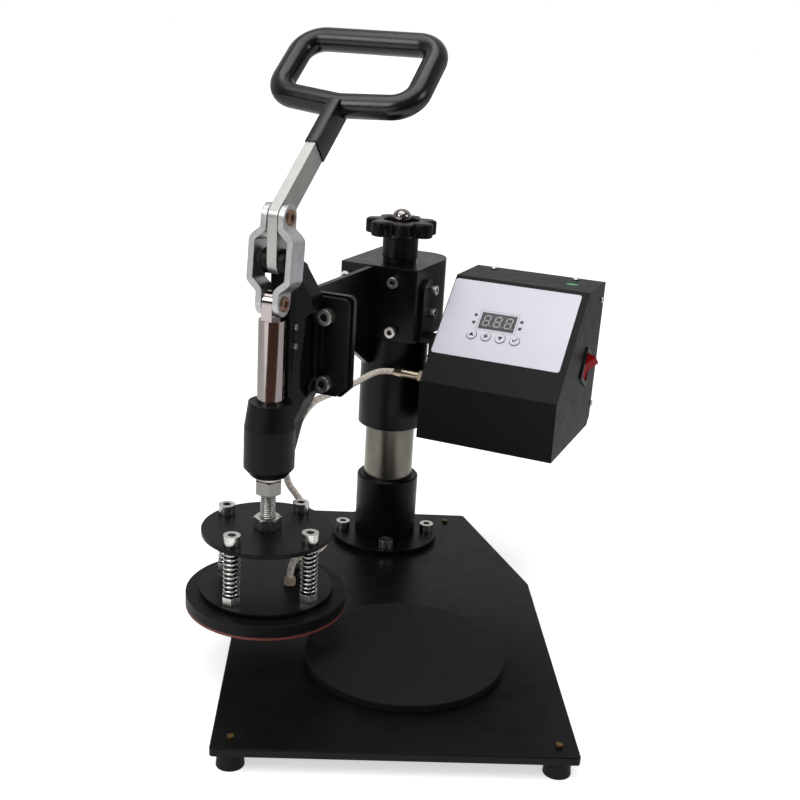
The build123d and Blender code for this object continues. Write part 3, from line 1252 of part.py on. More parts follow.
cable_start = (CASE_LEFT - GLAND_LENGTH, GLAND_Y, GLAND_Z)
cable_end = (CABLE_SLEEVE_X, behind(CABLE_SLEEVE_BACK), BACKING_TOP + CABLE_SLEEVE_HEIGHT)
cable_route = [
    cable_start,
    (8.0, -37.5, 197.0),
    (0.5, -43.5, 197.6),
    (-3.5, -53.5, 198.6),
    (-4.5, -69.0, 199.0),
    (-2.5, -94.0, 199.8),
    (1.0, behind(109.2), 201.0),
    (2.6, behind(84.2), 201.0),
    (1.6, behind(64.2), 196.6),
    (-1.0, behind(49.7), 184.5),
    (-3.6, behind(39.7), 168.5),
    (-5.0, behind(34.7), 152.5),
    (-3.4, behind(41.7), 138.0),
    (0.6, behind(53.2), 127.5),
    (8.0, behind(60.7), 117.0),
    (19.0, behind(59.2), 107.0),
    (29.5, behind(50.2), 101.0),
    (36.0, behind(37.2), 98.5),
    (37.0, behind(22.7), 97.5),
    (29.0, behind(12.2), 96.5),
    (16.0, behind(9.2), 89.0),
    cable_end,
]


def route_radii(points):
    """The arc at each corner: 0.45 of the shorter run over the tangent of half the turn."""
    radii = []
    for before, corner, after in zip(points, points[1:], points[2:]):
        first = Vector(*corner) - Vector(*before)
        second = Vector(*after) - Vector(*corner)
        half_turn = radians(first.get_angle(second)) / 2
        radii.append(0.45 * min(first.length, second.length) / tan(half_turn))
    return radii


def heater_cable():
    """Cable from the gland, under the arm and behind the casting, to the backing disc."""
    radii = route_radii(cable_route)
    path = FilletPolyline(*cable_route, radius=radii)
    first = Vector(*cable_route[1]) - Vector(*cable_route[0])
    section = Plane(origin=cable_route[0], z_dir=first) * Circle(CABLE_RADIUS)
    cable = sweep(section, path=path)
    print("cable radii, mm:", [round(r, 1) for r in radii])
    ratio = cable.volume / (pi * CABLE_RADIUS**2 * path.length)
    print("cable length, mm:", round(path.length, 1), "volume over section times length:", round(ratio, 4))
    return cable


write("base_plate", base_plate(), swings=False)
write("rubber_feet", rubber_feet(), swings=False)
write("foot_screws", foot_screws(), swings=False)
write("silicone_pad", silicone_pad(), swings=False)
write("post_flange", post_flange(), swings=False)
write("post_socket", post_socket(), swings=False)
write("flange_bolts", flange_bolts(), swings=False)
write("post_column", post_column(), swings=False)
write("knob_washer", knob_washer(), swings=False)
write("star_knob", star_knob(), swings=False)
write("knob_screw", knob_screw(), swings=False)
write("swing_sleeve", swing_sleeve())
write("swing_bush", swing_bush())
write("turret_block", turret_block())
write("turret_screws", turret_screws())
write("arm_plate", arm_plate())
write("clamp_body", clamp_body())
write("clamp_bolts", clamp_bolts())
write("guide_screws", guide_screws())
write("pivot_pin", pivot_pin())
write("lever_bar", lever_bar())
write("stem_sleeve", stem_sleeve())
write("handle_loop", handle_loop())
write("handle_grip", handle_grip())
write("ram_rod", ram_rod())
write("lock_nut", lock_nut())
write("link_plates", link_plates())
write("link_screws", link_screws())
write("height_stud", height_stud())
write("stud_nut", stud_nut())
write("pressure_disc", pressure_disc())
write("spring_bolts", spring_bolts())
write("spring_nuts", spring_nuts())
write("pressure_springs", pressure_springs())
write("backing_disc", backing_disc())
write("heating_plate", heating_plate())
write("platen_rim", platen_rim())
write("heater_element", heater_element())
write("thermocouple", thermocouple())
write("cable_sleeve", cable_sleeve())
write("controller_case", controller_case())
write("controller_back", controller_back())
write("panel_label", panel_label())
write("display_module", display_module())
write("led_lamps", led_lamps())
write("circuit_board", circuit_board())
write("heater_relay", heater_relay())
write("mains_inlet", mains_inlet())
write("case_screws", case_screws())
write("rocker_bezel", rocker_bezel())
write("power_rocker", power_rocker())
write("cable_gland", cable_gland())
write("controller_bracket", controller_bracket())
write("bracket_screws", bracket_screws())
write("heater_cable", heater_cable())
for name, x in zip(("button_raise", "button_mode", "button_lower", "button_set"), BUTTON_XS):
    write(name, button(x))
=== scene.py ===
from math import atan, cos, pi, radians, sin, tan

import bmesh
import bpy
from mathutils import Matrix, Vector


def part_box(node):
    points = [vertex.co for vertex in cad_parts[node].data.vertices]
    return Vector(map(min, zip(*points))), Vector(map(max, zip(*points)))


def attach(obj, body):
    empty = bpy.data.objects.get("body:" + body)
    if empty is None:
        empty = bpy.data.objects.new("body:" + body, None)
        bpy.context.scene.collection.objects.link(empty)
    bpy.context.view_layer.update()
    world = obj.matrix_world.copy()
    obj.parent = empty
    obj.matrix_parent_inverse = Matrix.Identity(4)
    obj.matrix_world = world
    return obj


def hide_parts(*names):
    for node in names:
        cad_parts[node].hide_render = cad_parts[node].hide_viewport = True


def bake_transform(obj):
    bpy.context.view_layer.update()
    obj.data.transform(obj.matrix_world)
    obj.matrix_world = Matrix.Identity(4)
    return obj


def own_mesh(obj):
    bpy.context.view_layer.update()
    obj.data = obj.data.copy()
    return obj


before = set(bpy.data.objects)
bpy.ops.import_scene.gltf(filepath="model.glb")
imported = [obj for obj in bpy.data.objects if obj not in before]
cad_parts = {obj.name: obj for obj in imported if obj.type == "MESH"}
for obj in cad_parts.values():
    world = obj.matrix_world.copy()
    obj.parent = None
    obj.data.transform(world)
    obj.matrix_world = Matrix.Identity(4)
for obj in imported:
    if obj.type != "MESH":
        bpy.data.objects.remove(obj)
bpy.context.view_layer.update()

# Camera: a 53 mm lens a little over a metre away, left of the press and above it, looking down.
# The three axes were fitted to the corners of the base plate, the post and the control box.
camera_right = Vector((0.997757, -0.036778, 0.055927))
camera_up = Vector((-0.041950, 0.307520, 0.950612))
camera_forward = Vector((0.052161, 0.950826, -0.305287))
camera_data = bpy.data.cameras.new("camera")
camera_data.lens = 52.555
camera_data.sensor_width = 36.0
camera = bpy.data.objects.new("camera", camera_data)
camera_place = Matrix.Translation((-0.04940, -1.04298, 0.49247))
camera_turn = Matrix((camera_right, camera_up, -camera_forward)).transposed().to_4x4()
camera.matrix_world = camera_place @ camera_turn
bpy.context.scene.collection.objects.link(camera)
bpy.context.scene.camera = camera


# Heater cable: silicone wire in a beige woven glass sleeve, clamped in the gland on the left side of
# the control box and in the collar on the platen. It is one line drawn in three lengths, because three
# joints bend it: the ram's, the height stud's and the platen's.
def linear(code):
    """A hex sRGB colour as linear RGBA."""
    channels = [int(code[i : i + 2], 16) / 255 for i in (0, 2, 4)]
    curve = [c / 12.92 if c <= 0.04045 else ((c + 0.055) / 1.055) ** 2.4 for c in channels]
    return (*curve, 1.0)


def add(tree, kind, inputs=None, **settings):
    """Adds a node with its settings; an input takes a value or the socket that feeds it."""
    made = tree.nodes.new(kind)
    for name, value in settings.items():
        setattr(made, name, value)
    for name, value in (inputs or {}).items():
        if isinstance(value, bpy.types.NodeSocket):
            tree.links.new(value, made.inputs[name])
        else:
            made.inputs[name].default_value = value
    return made


def start_material(name):
    """An empty node material."""
    made = bpy.data.materials.new(name)
    made.use_nodes = True
    made.node_tree.nodes.clear()
    return made, made.node_tree


def close_material(tree, **inputs):
    """The main shader and the output."""
    shader = add(tree, "ShaderNodeBsdfPrincipled", {k.replace("_", " "): v for k, v in inputs.items()})
    add(tree, "ShaderNodeOutputMaterial", {"Surface": shader.outputs[0]})


def glass_braid():
    """Woven glass sleeving: two crossed sets of threads, drawn on the tube's own map."""
    made, tree = start_material("beige_glass_braid")
    spot = add(tree, "ShaderNodeTexCoord").outputs["UV"]
    repeat, threads_round = 0.0032, 4.0
    heights = []
    for slant in (1, -1):
        scale = (cable_length / repeat, slant * threads_round, 1.0)
        turned = add(tree, "ShaderNodeMapping", {"Vector": spot, "Scale": scale})
        parts = add(tree, "ShaderNodeSeparateXYZ", {"Vector": turned.outputs[0]})
        total = add(tree, "ShaderNodeMath", {0: parts.outputs[0], 1: parts.outputs[1]}, operation="ADD")
        wave = add(tree, "ShaderNodeMath", {0: total.outputs[0], 1: 1.0}, operation="PINGPONG")
        heights.append(wave.outputs[0])
    # The threads are lighter on their crests, with painted shade where they dip under each other.
    weave = add(tree, "ShaderNodeMath", {0: heights[0], 1: heights[1]}, operation="MAXIMUM")
    shade = add(tree, "ShaderNodeMix", {"Factor": weave.outputs[0]}, data_type="RGBA")
    shade.inputs[6].default_value = linear("c9b8a8")
    shade.inputs[7].default_value = linear("f4ece2")
    bump = add(tree, "ShaderNodeBump", {"Height": weave.outputs[0], "Distance": 0.0003, "Strength": 0.6})
    close_material(tree, Base_Color=shade.outputs[2], Roughness=0.7, Normal=bump.outputs[0])
    return made


swing = Matrix.Rotation(radians(-25.5), 4, "Z")
cable_radius = 0.00275
cable_route = [
    (17.0, -37.5, 197.0),
    (8.0, -37.5, 196.8),
    (-0.5, -42.0, 194.6),
    (-5.0, -53.5, 192.0),
    (-5.0, -70.0, 191.8),
    (-2.5, -94.0, 194.6),
    (1.0, -124.0, 198.4),
    (2.6, -149.0, 201.6),
    (2.0, -169.0, 201.8),
    (0.0, -185.0, 191.5),
    (-3.0, -195.0, 173.0),
    (-5.0, -199.0, 154.0),
    (-5.0, -192.0, 138.0),
    (-3.0, -182.0, 126.5),
    (1.5, -176.0, 115.0),
    (12.0, -176.0, 105.5),
    (25.0, -184.0, 100.5),
    (33.0, -197.0, 98.5),
    (34.5, -210.5, 97.5),
    (28.5, -221.0, 96.5),
    (16.0, -224.0, 89.0),
    (16.0, -224.0, 74.1),
]
cable_points = [swing @ (Vector(p) * 0.001) for p in cable_route]
line_data = bpy.data.curves.new("cable_line", "CURVE")
line_data.dimensions = "3D"
spline = line_data.splines.new("NURBS")
spline.points.add(len(cable_points) - 1)
for knot, place in zip(spline.points, cable_points):
    knot.co = (*place, 1.0)
spline.order_u = 3
spline.use_endpoint_u = True
spline.resolution_u = 10
line = bpy.data.objects.new("cable_line", line_data)
bpy.context.scene.collection.objects.link(line)
bpy.context.view_layer.update()
bare = bpy.data.meshes.new_from_object(line)
cable_path = [v.co.copy() for v in bare.vertices]
cable_length = sum((b - a).length for a, b in zip(cable_path, cable_path[1:]))
line_data.bevel_depth = cable_radius
line_data.bevel_resolution = 6
line_data.use_fill_caps = True
bpy.context.view_layer.update()
tube = bpy.data.meshes.new_from_object(line.evaluated_get(bpy.context.evaluated_depsgraph_get()))
bpy.data.objects.remove(line)
tube.materials.clear()
tube.materials.append(glass_braid())


def nearest_step(place):
    """The step of the cable's line that a point of its tube goes with."""
    return min(range(len(cable_path)), key=lambda i: (place - cable_path[i]).length_squared)


tube_steps = [nearest_step(v.co) for v in tube.vertices]
halfway = len(cable_path) // 2
ram_cut_height = 0.132
head_cut_height = 0.0985
ram_cut = next(i for i in range(halfway, len(cable_path)) if cable_path[i].z < ram_cut_height)
head_cut = next(i for i in range(ram_cut, len(cable_path)) if cable_path[i].z < head_cut_height)
# Each length: its first and last step, the bodies at its ends, and the heights that it bends between.
cable_parts = {
    "heater_cable_upper": (0, ram_cut, "turret", "ram", 0.191, 0.1345),
    "heater_cable_middle": (ram_cut, head_cut, "ram", "head", 0.1295, 0.1025),
    "heater_cable_lower": (head_cut, len(cable_path) - 1, "head", "platen", 0.0945, 0.0742),
}
for name, (first, last, above, below, from_z, to_z) in cable_parts.items():
    made = bmesh.new()
    made.from_mesh(tube)
    outside = [f for f in made.faces if any(not first <= tube_steps[v.index] <= last for v in f.verts)]
    bmesh.ops.delete(made, geom=outside, context="FACES")
    cut = [e for e in made.edges if e.is_boundary]
    for cap in bmesh.ops.holes_fill(made, edges=cut, sides=0)["faces"]:
        cap.smooth = False
    part_mesh = bpy.data.meshes.new(name)
    made.to_mesh(part_mesh)
    made.free()
    part_mesh.materials.append(tube.materials[0])
    part = bpy.data.objects.new(name, part_mesh)
    bpy.context.scene.collection.objects.link(part)
    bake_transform(part)
    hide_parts("heater_cable")


# Base plate, post foot and the two discs: mild steel, cut and bored, under baked gloss black enamel.
# The enamel is smooth enough to mirror the bolt heads, with a faint orange peel.
def finish(
    name,
    light,
    dark,
    metallic=0.0,
    rough=(0.4, 0.5),
    blotch=12.0,
    grain=0.5,
    depth=0.02,
    edge=0.3,
    shade_depth=0.0,
    **more,
):
    """A surface with blotches of two tones, a fine grain, and edges rounded in the shading; sizes in mm.
    A depth of painted shade, where given, darkens the colour in holes and corners about that many mm deep."""
    made, tree = start_material(name)
    spot = add(tree, "ShaderNodeTexCoord").outputs["Object"]
    blotches = add(tree, "ShaderNodeTexNoise", {"Vector": spot, "Scale": 1000 / blotch, "Detail": 4.0})
    fine = add(tree, "ShaderNodeTexNoise", {"Vector": spot, "Scale": 1000 / grain, "Detail": 3.0})
    tone = add(tree, "ShaderNodeMix", {"Factor": blotches.outputs["Fac"]}, data_type="RGBA")
    tone.inputs[6].default_value = linear(dark)
    tone.inputs[7].default_value = linear(light)
    gloss = add(
        tree,
        "ShaderNodeMapRange",
        {
            "Value": blotches.outputs["Fac"],
            "From Min": 0.3,
            "From Max": 0.7,
            "To Min": rough[0],
            "To Max": rough[1],
        },
    )
    soft = add(tree, "ShaderNodeBevel", {"Radius": edge / 1000}, samples=6)
    bump = add(
        tree,
        "ShaderNodeBump",
        {
            "Height": fine.outputs["Fac"],
            "Distance": depth / 1000,
            "Strength": 0.5,
            "Normal": soft.outputs[0],
        },
    )
    colour = tone.outputs[2]
    # Painted shade: ambient occlusion darkens the colour in holes and corners.
    if shade_depth:
        painted_shade_ao = add(
            tree,
            "ShaderNodeAmbientOcclusion",
            {"Distance": shade_depth / 1000, "Color": (1, 1, 1, 1)},
            samples=8,
        )
        dim = add(
            tree,
            "ShaderNodeMapRange",
            {"Value": painted_shade_ao.outputs["AO"], "From Min": 0.35, "From Max": 0.85, "To Min": 0.12},
        )
        layers = {"Factor": 1.0, 6: colour, 7: dim.outputs[0]}
        shaded = add(tree, "ShaderNodeMix", layers, data_type="RGBA", blend_type="MULTIPLY")
        colour = shaded.outputs[2]
    close_material(
        tree,
        Base_Color=colour,
        Roughness=gloss.outputs[0],
        Metallic=metallic,
        Normal=bump.outputs[0],
        **more,
    )
    return made


def dress(material, *names):
    """Gives a material to CAD nodes."""
    for name in names:
        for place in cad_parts[name].material_slots:
            place.material = material


enamel = finish(
    "gloss_black_enamel", "0c0c0d", "060607",
    rough=(0.3, 0.4), grain=1.6, depth=0.02, edge=0.5, Specular_IOR_Level=0.13,
)
dress(enamel, "base_plate", "post_flange", "post_socket", "pressure_disc", "backing_disc")

# Feet and pressing pad: black rubber, moulded and matt. The pad is a loose disc of hard silicone
# rubber with a rounded edge, laid on the plate.
rubber = finish(
    "moulded_black_rubber", "131313", "0d0d0d",
    rough=(0.6, 0.75), grain=0.7, depth=0.03, edge=0.6, Specular_IOR_Level=0.2,
)
dress(rubber, "rubber_feet")


def piece(name, mesh_maker, material, body, place=None, smooth=True):
    """Builds a piece in millimetres with a function, puts it in place in its mesh, and rides it."""
    made = bmesh.new()
    mesh_maker(made)
    bmesh.ops.remove_doubles(made, verts=made.verts, dist=1e-4)
    bmesh.ops.recalc_face_normals(made, faces=made.faces)
    bmesh.ops.scale(made, vec=(0.001, 0.001, 0.001), verts=made.verts)
    if place is not None:
        made.transform(place)
    mesh = bpy.data.meshes.new(name)
    made.to_mesh(mesh)
    made.free()
    for face in mesh.polygons:
        face.use_smooth = smooth
    if smooth:
        mesh.set_sharp_from_angle(angle=radians(35))
    mesh.materials.append(material)
    shown = bpy.data.objects.new(name, mesh)
    bpy.context.scene.collection.objects.link(shown)
    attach(shown, body)
    return shown


def turned_shape(outline, steps=96):
    """A maker of a body of revolution about Z from an outline in (radius, height)."""

    def make(made):
        verts = [made.verts.new((r, 0, z)) for r, z in outline]
        edges = [made.edges.new(pair) for pair in zip(verts, verts[1:])]
        bmesh.ops.spin(
            made,
            geom=verts + edges,
            cent=(0, 0, 0),
            axis=(0, 0, 1),
            angle=2 * pi,
            steps=steps,
            use_merge=True,
        )

    return make


pad_low, pad_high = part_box("silicone_pad")
pad_centre = (pad_low + pad_high) / 2
pad_radius = (pad_high[0] - pad_low[0]) * 500
pad_bottom = pad_low[2] * 1000
pad_top = pad_high[2] * 1000
pad_bevel = 0.5
pad_round = 1.2
pad_outline = [(0, pad_bottom), (pad_radius - pad_bevel, pad_bottom)]
pad_outline.append((pad_radius, pad_bottom + pad_bevel))
for step in range(7):
    angle = step * pi / 12
    pad_outline.append(
        (pad_radius - pad_round + pad_round * cos(angle), pad_top - pad_round + pad_round * sin(angle))
    )
pad_outline.append((0, pad_top))
pad_place = Matrix.Translation((pad_centre.x, pad_centre.y, 0))
pad = piece("pressing_pad", turned_shape(pad_outline), rubber, "base", pad_place)
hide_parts("silicone_pad")

# Column: a bar of ground and polished steel, held in the socket on the foot. The grinding wheel has
# left faint rings round it, and handling has left clouded patches. The heat probe is ground bar too.
ground, tree = start_material("ground_steel_bar")
spot = add(tree, "ShaderNodeTexCoord").outputs["Object"]
rings = add(tree, "ShaderNodeMapping", {"Vector": spot, "Scale": (20.0, 20.0, 1800.0)})
lines = add(tree, "ShaderNodeTexNoise", {"Vector": rings.outputs[0], "Scale": 1.0, "Detail": 3.0})
stain = add(tree, "ShaderNodeTexNoise", {"Vector": spot, "Scale": 30.0, "Detail": 5.0})
tone = add(tree, "ShaderNodeMix", {"Factor": stain.outputs["Fac"]}, data_type="RGBA")
tone.inputs[6].default_value = linear("5c5850")
tone.inputs[7].default_value = linear("8a867e")
gloss = add(tree, "ShaderNodeMapRange", {"Value": lines.outputs["Fac"], "To Min": 0.2, "To Max": 0.42})
bump = add(tree, "ShaderNodeBump", {"Height": lines.outputs["Fac"], "Distance": 0.00001, "Strength": 0.4})
close_material(
    tree, Base_Color=tone.outputs[2], Roughness=gloss.outputs[0], Metallic=1.0, Normal=bump.outputs[0]
)
dress(ground, "post_column", "thermocouple")

# Turret, sleeve and arm: a steel tube with a block on top, and an arm welded from plate and screwed to
# the block. Semi-gloss black powder coat bakes to a fine pebbling on them, and on the cranked strip
# that carries the control box.
powder = finish(
    "black_powder_coat", "0b0b0c", "060606",
    rough=(0.28, 0.38), grain=1.1, depth=0.025, edge=0.6, Specular_IOR_Level=0.23,
)
dress(powder, "swing_sleeve", "turret_block", "arm_plate", "controller_bracket")

# Clamp body: grey iron, sand cast in one piece with its plate, its barrel for the ram and its two ears,
# then fettled and painted black. It is rougher than the welded parts, and its edges are rounder.
casting = finish(
    "painted_iron_casting", "0c0c0d", "060606",
    rough=(0.34, 0.48), blotch=7, grain=2.2, depth=0.12, edge=2.0, Specular_IOR_Level=0.21,
)
dress(casting, "clamp_body")

# Control box: steel sheet, folded and screwed to its back, in baked semi-gloss black with a cool
# sheen and softly rounded folds.
case_paint = finish(
    "baked_black_sheet", "111113", "0b0b0d",
    rough=(0.42, 0.5), grain=0.9, depth=0.015, edge=0.7, Specular_IOR_Level=0.17,
)
dress(case_paint, "controller_case", "controller_back")

# Screws and nuts: cold headed steel, zinc plated, with painted shade in their sockets. Those of the
# platen, the post's foot and the control box are bright. Those in the upright faces are a little rougher,
# with painted shade deeper into their sides, and the nut on the ram is painted darker all over, as shade.
zinc = finish(
    "bright_zinc_plate", "e8e7e4", "c8c6c2", 1.0,
    rough=(0.22, 0.34), blotch=3, grain=0.3, depth=0.006, edge=0.25, shade_depth=4.0,
)
dress(zinc, "flange_bolts", "case_screws", "spring_bolts", "spring_nuts")
# Screws in the upright faces: slightly rougher zinc, with painted shade about 8 mm deep in their sides and
# sockets.
wall_zinc = finish(
    "rougher_zinc_deep_painted_shade", "efede9", "c8c5c0", 1.0,
    rough=(0.26, 0.38), blotch=3, grain=0.3, depth=0.004, edge=0.8, shade_depth=8.0,
)
dress(wall_zinc, "turret_screws", "clamp_bolts", "guide_screws", "bracket_screws")
# The ram's nut: zinc whose colour is painted darker all over, as shade, with painted shade in its corners
# too.
nut_zinc = finish(
    "zinc_plate_painted_darker_as_shade", "a6a49f", "858380", 1.0,
    rough=(0.28, 0.4), blotch=3, grain=0.3, depth=0.006, edge=0.3, shade_depth=3.0,
)
dress(nut_zinc, "lock_nut")

# Pressure springs: round spring wire wound cold, with a closed turn at each end. They hang under
# the upper disc and shorten from below as the platen is pushed up.
wire_radius = 0.8
coil_radius = 5.7
spring_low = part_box("pressure_springs")[0].z * 1000
spring_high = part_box("pressure_springs")[1].z * 1000
spring_circle = 41.5
first_spring = -10.0
head_axis = Vector((0, -233.2, 0))


def coil(made):
    """One spring on the Z axis: a ring of wire spun up through its three stretches."""
    gap = 0.15
    closed = 2 * wire_radius + gap
    active = spring_high - spring_low - 2 * wire_radius - 2 * closed
    turn_steps = 24
    ring = bmesh.ops.create_circle(made, segments=10, radius=wire_radius, cap_ends=True)["verts"]
    bmesh.ops.rotate(made, cent=(0, 0, 0), matrix=Matrix.Rotation(pi / 2, 3, "X"), verts=ring)
    bmesh.ops.translate(made, vec=(coil_radius, 0, spring_low + wire_radius), verts=ring)
    front = list(made.faces)
    for turns, rise in ((1, closed), (9, active), (1, closed)):
        steps = turns * turn_steps
        swept = bmesh.ops.spin(
            made,
            geom=front,
            cent=(0, 0, 0),
            axis=(0, 0, 1),
            dvec=(0, 0, rise / steps),
            angle=2 * pi * turns,
            steps=steps,
        )
        front = [f for f in swept["geom_last"] if isinstance(f, bmesh.types.BMFace)]


# The wire has painted shade where its turns lie close together.
spring_wire = finish(
    "bright_spring_wire", "e2e2e0", "bcbbb8", 1.0,
    rough=(0.2, 0.3), blotch=2, grain=0.3, depth=0.004, shade_depth=5.0,
)
for number in range(4):
    turn = radians(90 * number + first_spring)
    centre = (head_axis + Vector((cos(turn), sin(turn), 0)) * spring_circle) * 0.001
    spring = piece(f"spring_{number + 1}", coil, spring_wire, "head", swing @ Matrix.Translation(centre))
    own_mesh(spring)
    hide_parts("pressure_springs")

# Height stud: M12 steel rod with a rolled thread all along, zinc plated. It screws up into the ram,
# where the nut locks it, and sets how low the platen comes.
stud_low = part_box("height_stud")[0].z * 1000
stud_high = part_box("height_stud")[1].z * 1000


def thread(made):
    """A thread of 1.75 mm pitch: the flanks of one ridge, spun upwards."""
    root, crest, pitch, turn_steps = 5.15, 5.95, 1.75, 24
    turns = int((stud_high - stud_low) / pitch) - 1
    ridge = [(root, 0.0), (crest, 0.75), (crest, 1.0), (root, pitch)]
    verts = [made.verts.new((r, 0, stud_low + z)) for r, z in ridge]
    edges = [made.edges.new(pair) for pair in zip(verts, verts[1:])]
    bmesh.ops.spin(
        made,
        geom=verts + edges,
        cent=(0, 0, 0),
        axis=(0, 0, 1),
        dvec=(0, 0, pitch / turn_steps),
        angle=2 * pi * turns,
        steps=turn_steps * turns,
    )
    bmesh.ops.remove_doubles(made, verts=made.verts, dist=1e-3)
    bmesh.ops.holes_fill(made, edges=[e for e in made.edges if e.is_boundary], sides=0)


stud_place = swing @ Matrix.Translation(head_axis * 0.001)
stud = piece("threaded_stud", thread, zinc, "head", stud_place)
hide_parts("height_stud")

# Stud nut: a low hexagon nut of zinc plated steel, its corners turned off at both ends. It clamps the
# stud to the upper disc.
nut_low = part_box("stud_nut")[0].z * 1000


def low_nut(made):
    """A hexagon nut on the Z axis, as six rings from its bore round the outside and back to it."""
    bore, flats, turned, high, steps = 6.0, 9.5, 9.8, 9.4, 96
    rings = [[], [], [], [], [], []]
    for step in range(steps):
        turn = 2 * pi * step / steps
        reach = flats / cos((turn + pi / 6) % (pi / 3) - pi / 6)
        slope = max(0.0, reach - turned) * 0.6
        face = min(reach, turned)
        section = [(bore, 0.0), (face, 0.0), (reach, slope)]
        section += [(reach, high - slope), (face, high), (bore, high)]
        for ring, (radius, z) in zip(rings, section):
            ring.append(made.verts.new((radius * cos(turn), radius * sin(turn), nut_low + z)))
    for low, top in zip(rings, rings[1:] + rings[:1]):
        for i in range(steps):
            made.faces.new((low[i - 1], low[i], top[i], top[i - 1]))


nut = piece("low_stud_nut", low_nut, zinc, "head", stud_place)
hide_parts("stud_nut")

# Lever bar and pivot pin: sheared and drilled steel strip and a drawn pin, in dull warm zinc. The bar
# turns on the pin in the casting's ears, and bends back above the crank pin that moves the links.
strip = finish(
    "dull_zinc_strip", "c4c4c0", "a2a29f", 1.0,
    rough=(0.32, 0.45), blotch=9, grain=0.6, depth=0.02, edge=0.6,
)
dress(strip, "pivot_pin")
pivot_pin_middle = Vector((0, -227.0, 325.0))
crank_pin_middle = Vector((0, -227.0, 357.5))
lever_lean = radians(51.0)
lever_up = Vector((0, sin(lever_lean), cos(lever_lean)))
lever_side = Vector((0, cos(lever_lean), -sin(lever_lean)))


def lever_strip(made):
    """The bar's side view, round at the pivot and bent at the crank pin, given its thickness."""
    reach, end, half_thick = 9.5, 114.0, 4.0
    bottom = [-step * pi / 16 for step in range(17)]
    heel = [pi - step * lever_lean / 8 for step in range(9)]
    outline = [pivot_pin_middle + Vector((0, cos(a), sin(a))) * reach for a in bottom]
    outline += [crank_pin_middle + Vector((0, cos(a), sin(a))) * reach for a in heel]
    outline += [crank_pin_middle + lever_up * end + lever_side * across for across in (-reach, reach)]
    outline.append(crank_pin_middle + Vector((0, reach, -reach * tan(lever_lean / 2))))
    rings = [[made.verts.new(p + Vector((x, 0, 0))) for p in outline] for x in (-half_thick, half_thick)]
    made.faces.new(rings[0])
    made.faces.new(rings[1])
    for i in range(len(outline)):
        made.faces.new((rings[0][i - 1], rings[0][i], rings[1][i], rings[1][i - 1]))


bar = piece("lever_strip", lever_strip, strip, "lever", swing)
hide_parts("lever_bar")

# Links: two pressed strips of bright zinc plated steel, each bent outwards in a soft S above and below
# to clear the ears of the casting, with round ends over the two pins.
ram_pin_middle = head_axis + Vector((0, 0, 295.5))
link_line = crank_pin_middle - ram_pin_middle
link_length = link_line.length
link_lean = atan(link_line.y / link_line.z)
link_place = swing @ Matrix.Translation(ram_pin_middle * 0.001) @ Matrix.Rotation(-link_lean, 4, "X")


def link_strip(side):
    """A maker of one link: the strip's four edges, followed from one round end to the other."""
    half_width, half_thick, neck, bulge, bend_from, bend_long = 9.5, 2.4, 7.0, 15.5, 7.6, 10.0

    def middle(z):
        into = min(max((min(z, link_length - z) - bend_from) / bend_long, 0.0), 1.0)
        return neck + (bulge - neck) * into * into * (3 - 2 * into)

    def make(made):
        arc = [step * pi / 20 for step in range(1, 10)]
        stations = [(-half_width * cos(a), half_width * sin(a)) for a in arc]
        stations += [(link_length * step / 64, half_width) for step in range(65)]
        stations += [(link_length + half_width * cos(a), half_width * sin(a)) for a in reversed(arc)]
        rings = []
        for z, wide in stations:
            rise = middle(z + 0.05) - middle(z - 0.05)
            lean = (rise / 0.1) / (1 + (rise / 0.1) ** 2) ** 0.5
            flat = (1 - lean * lean) ** 0.5
            inner = (middle(z) - half_thick * flat, z + half_thick * lean)
            outer = (middle(z) + half_thick * flat, z - half_thick * lean)
            corners = [(inner, -wide), (inner, wide), (outer, wide), (outer, -wide)]
            rings.append([made.verts.new((side * at[0], y, at[1])) for at, y in corners])
        for low, high in zip(rings, rings[1:]):
            for i in range(4):
                made.faces.new((low[i], low[i - 1], high[i - 1], high[i]))
        made.faces.new(rings[0])
        made.faces.new(rings[-1])

    return make


link_steel = finish(
    "bright_zinc_strip", "d6d6d6", "b0b0b1", 1.0,
    rough=(0.3, 0.42), blotch=6, grain=0.6, depth=0.02, edge=0.8,
)
for side, word in ((-1, "left"), (1, "right")):
    link = piece(f"{word}_link", link_strip(side), link_steel, "links", link_place)
    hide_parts("link_plates")

# Link screws: steel, with low round heads and hexagon sockets. The zinc has worn through to the copper
# under it. Two are on the bolt through the ram's tongue, and two on the crank pin.
def socket_head(made):
    """A low head on the XY plane with a hexagon socket, and its shank below."""
    head, socket, high, depth, shank = 5.9, 2.9, 1.5, 2.6, 3.9
    outline = [(shank, -9.0), (shank, -0.2), (head, -0.2), (head, high - 0.5), (head - 0.5, high)]
    outline.append((socket + 0.9, high))
    verts = [made.verts.new((r, 0, z)) for r, z in outline]
    edges = [made.edges.new(pair) for pair in zip(verts, verts[1:])]
    bmesh.ops.spin(
        made, geom=verts + edges, cent=(0, 0, 0), axis=(0, 0, 1), angle=2 * pi, steps=48, use_merge=True
    )
    made.verts.ensure_lookup_table()
    rim = [v for v in made.verts if abs(v.co.z - high) < 1e-4 and v.co.xy.length < socket + 1.0]
    rim.sort(key=lambda v: v.co.to_2d().angle_signed(Vector((1, 0)), 0))
    walls = []
    for v in rim:
        turn = v.co.to_2d().angle_signed(Vector((1, 0)), 0) % (pi / 3) - pi / 6
        reach = socket * cos(pi / 6) / cos(turn)
        spot = v.co.to_2d().normalized() * reach
        walls.append([made.verts.new((spot.x, spot.y, z)) for z in (high, high - depth)])
    for i, v in enumerate(rim):
        made.faces.new((rim[i - 1], v, walls[i][0], walls[i - 1][0]))
        made.faces.new((walls[i - 1][0], walls[i][0], walls[i][1], walls[i - 1][1]))
    made.faces.new([w[1] for w in walls])


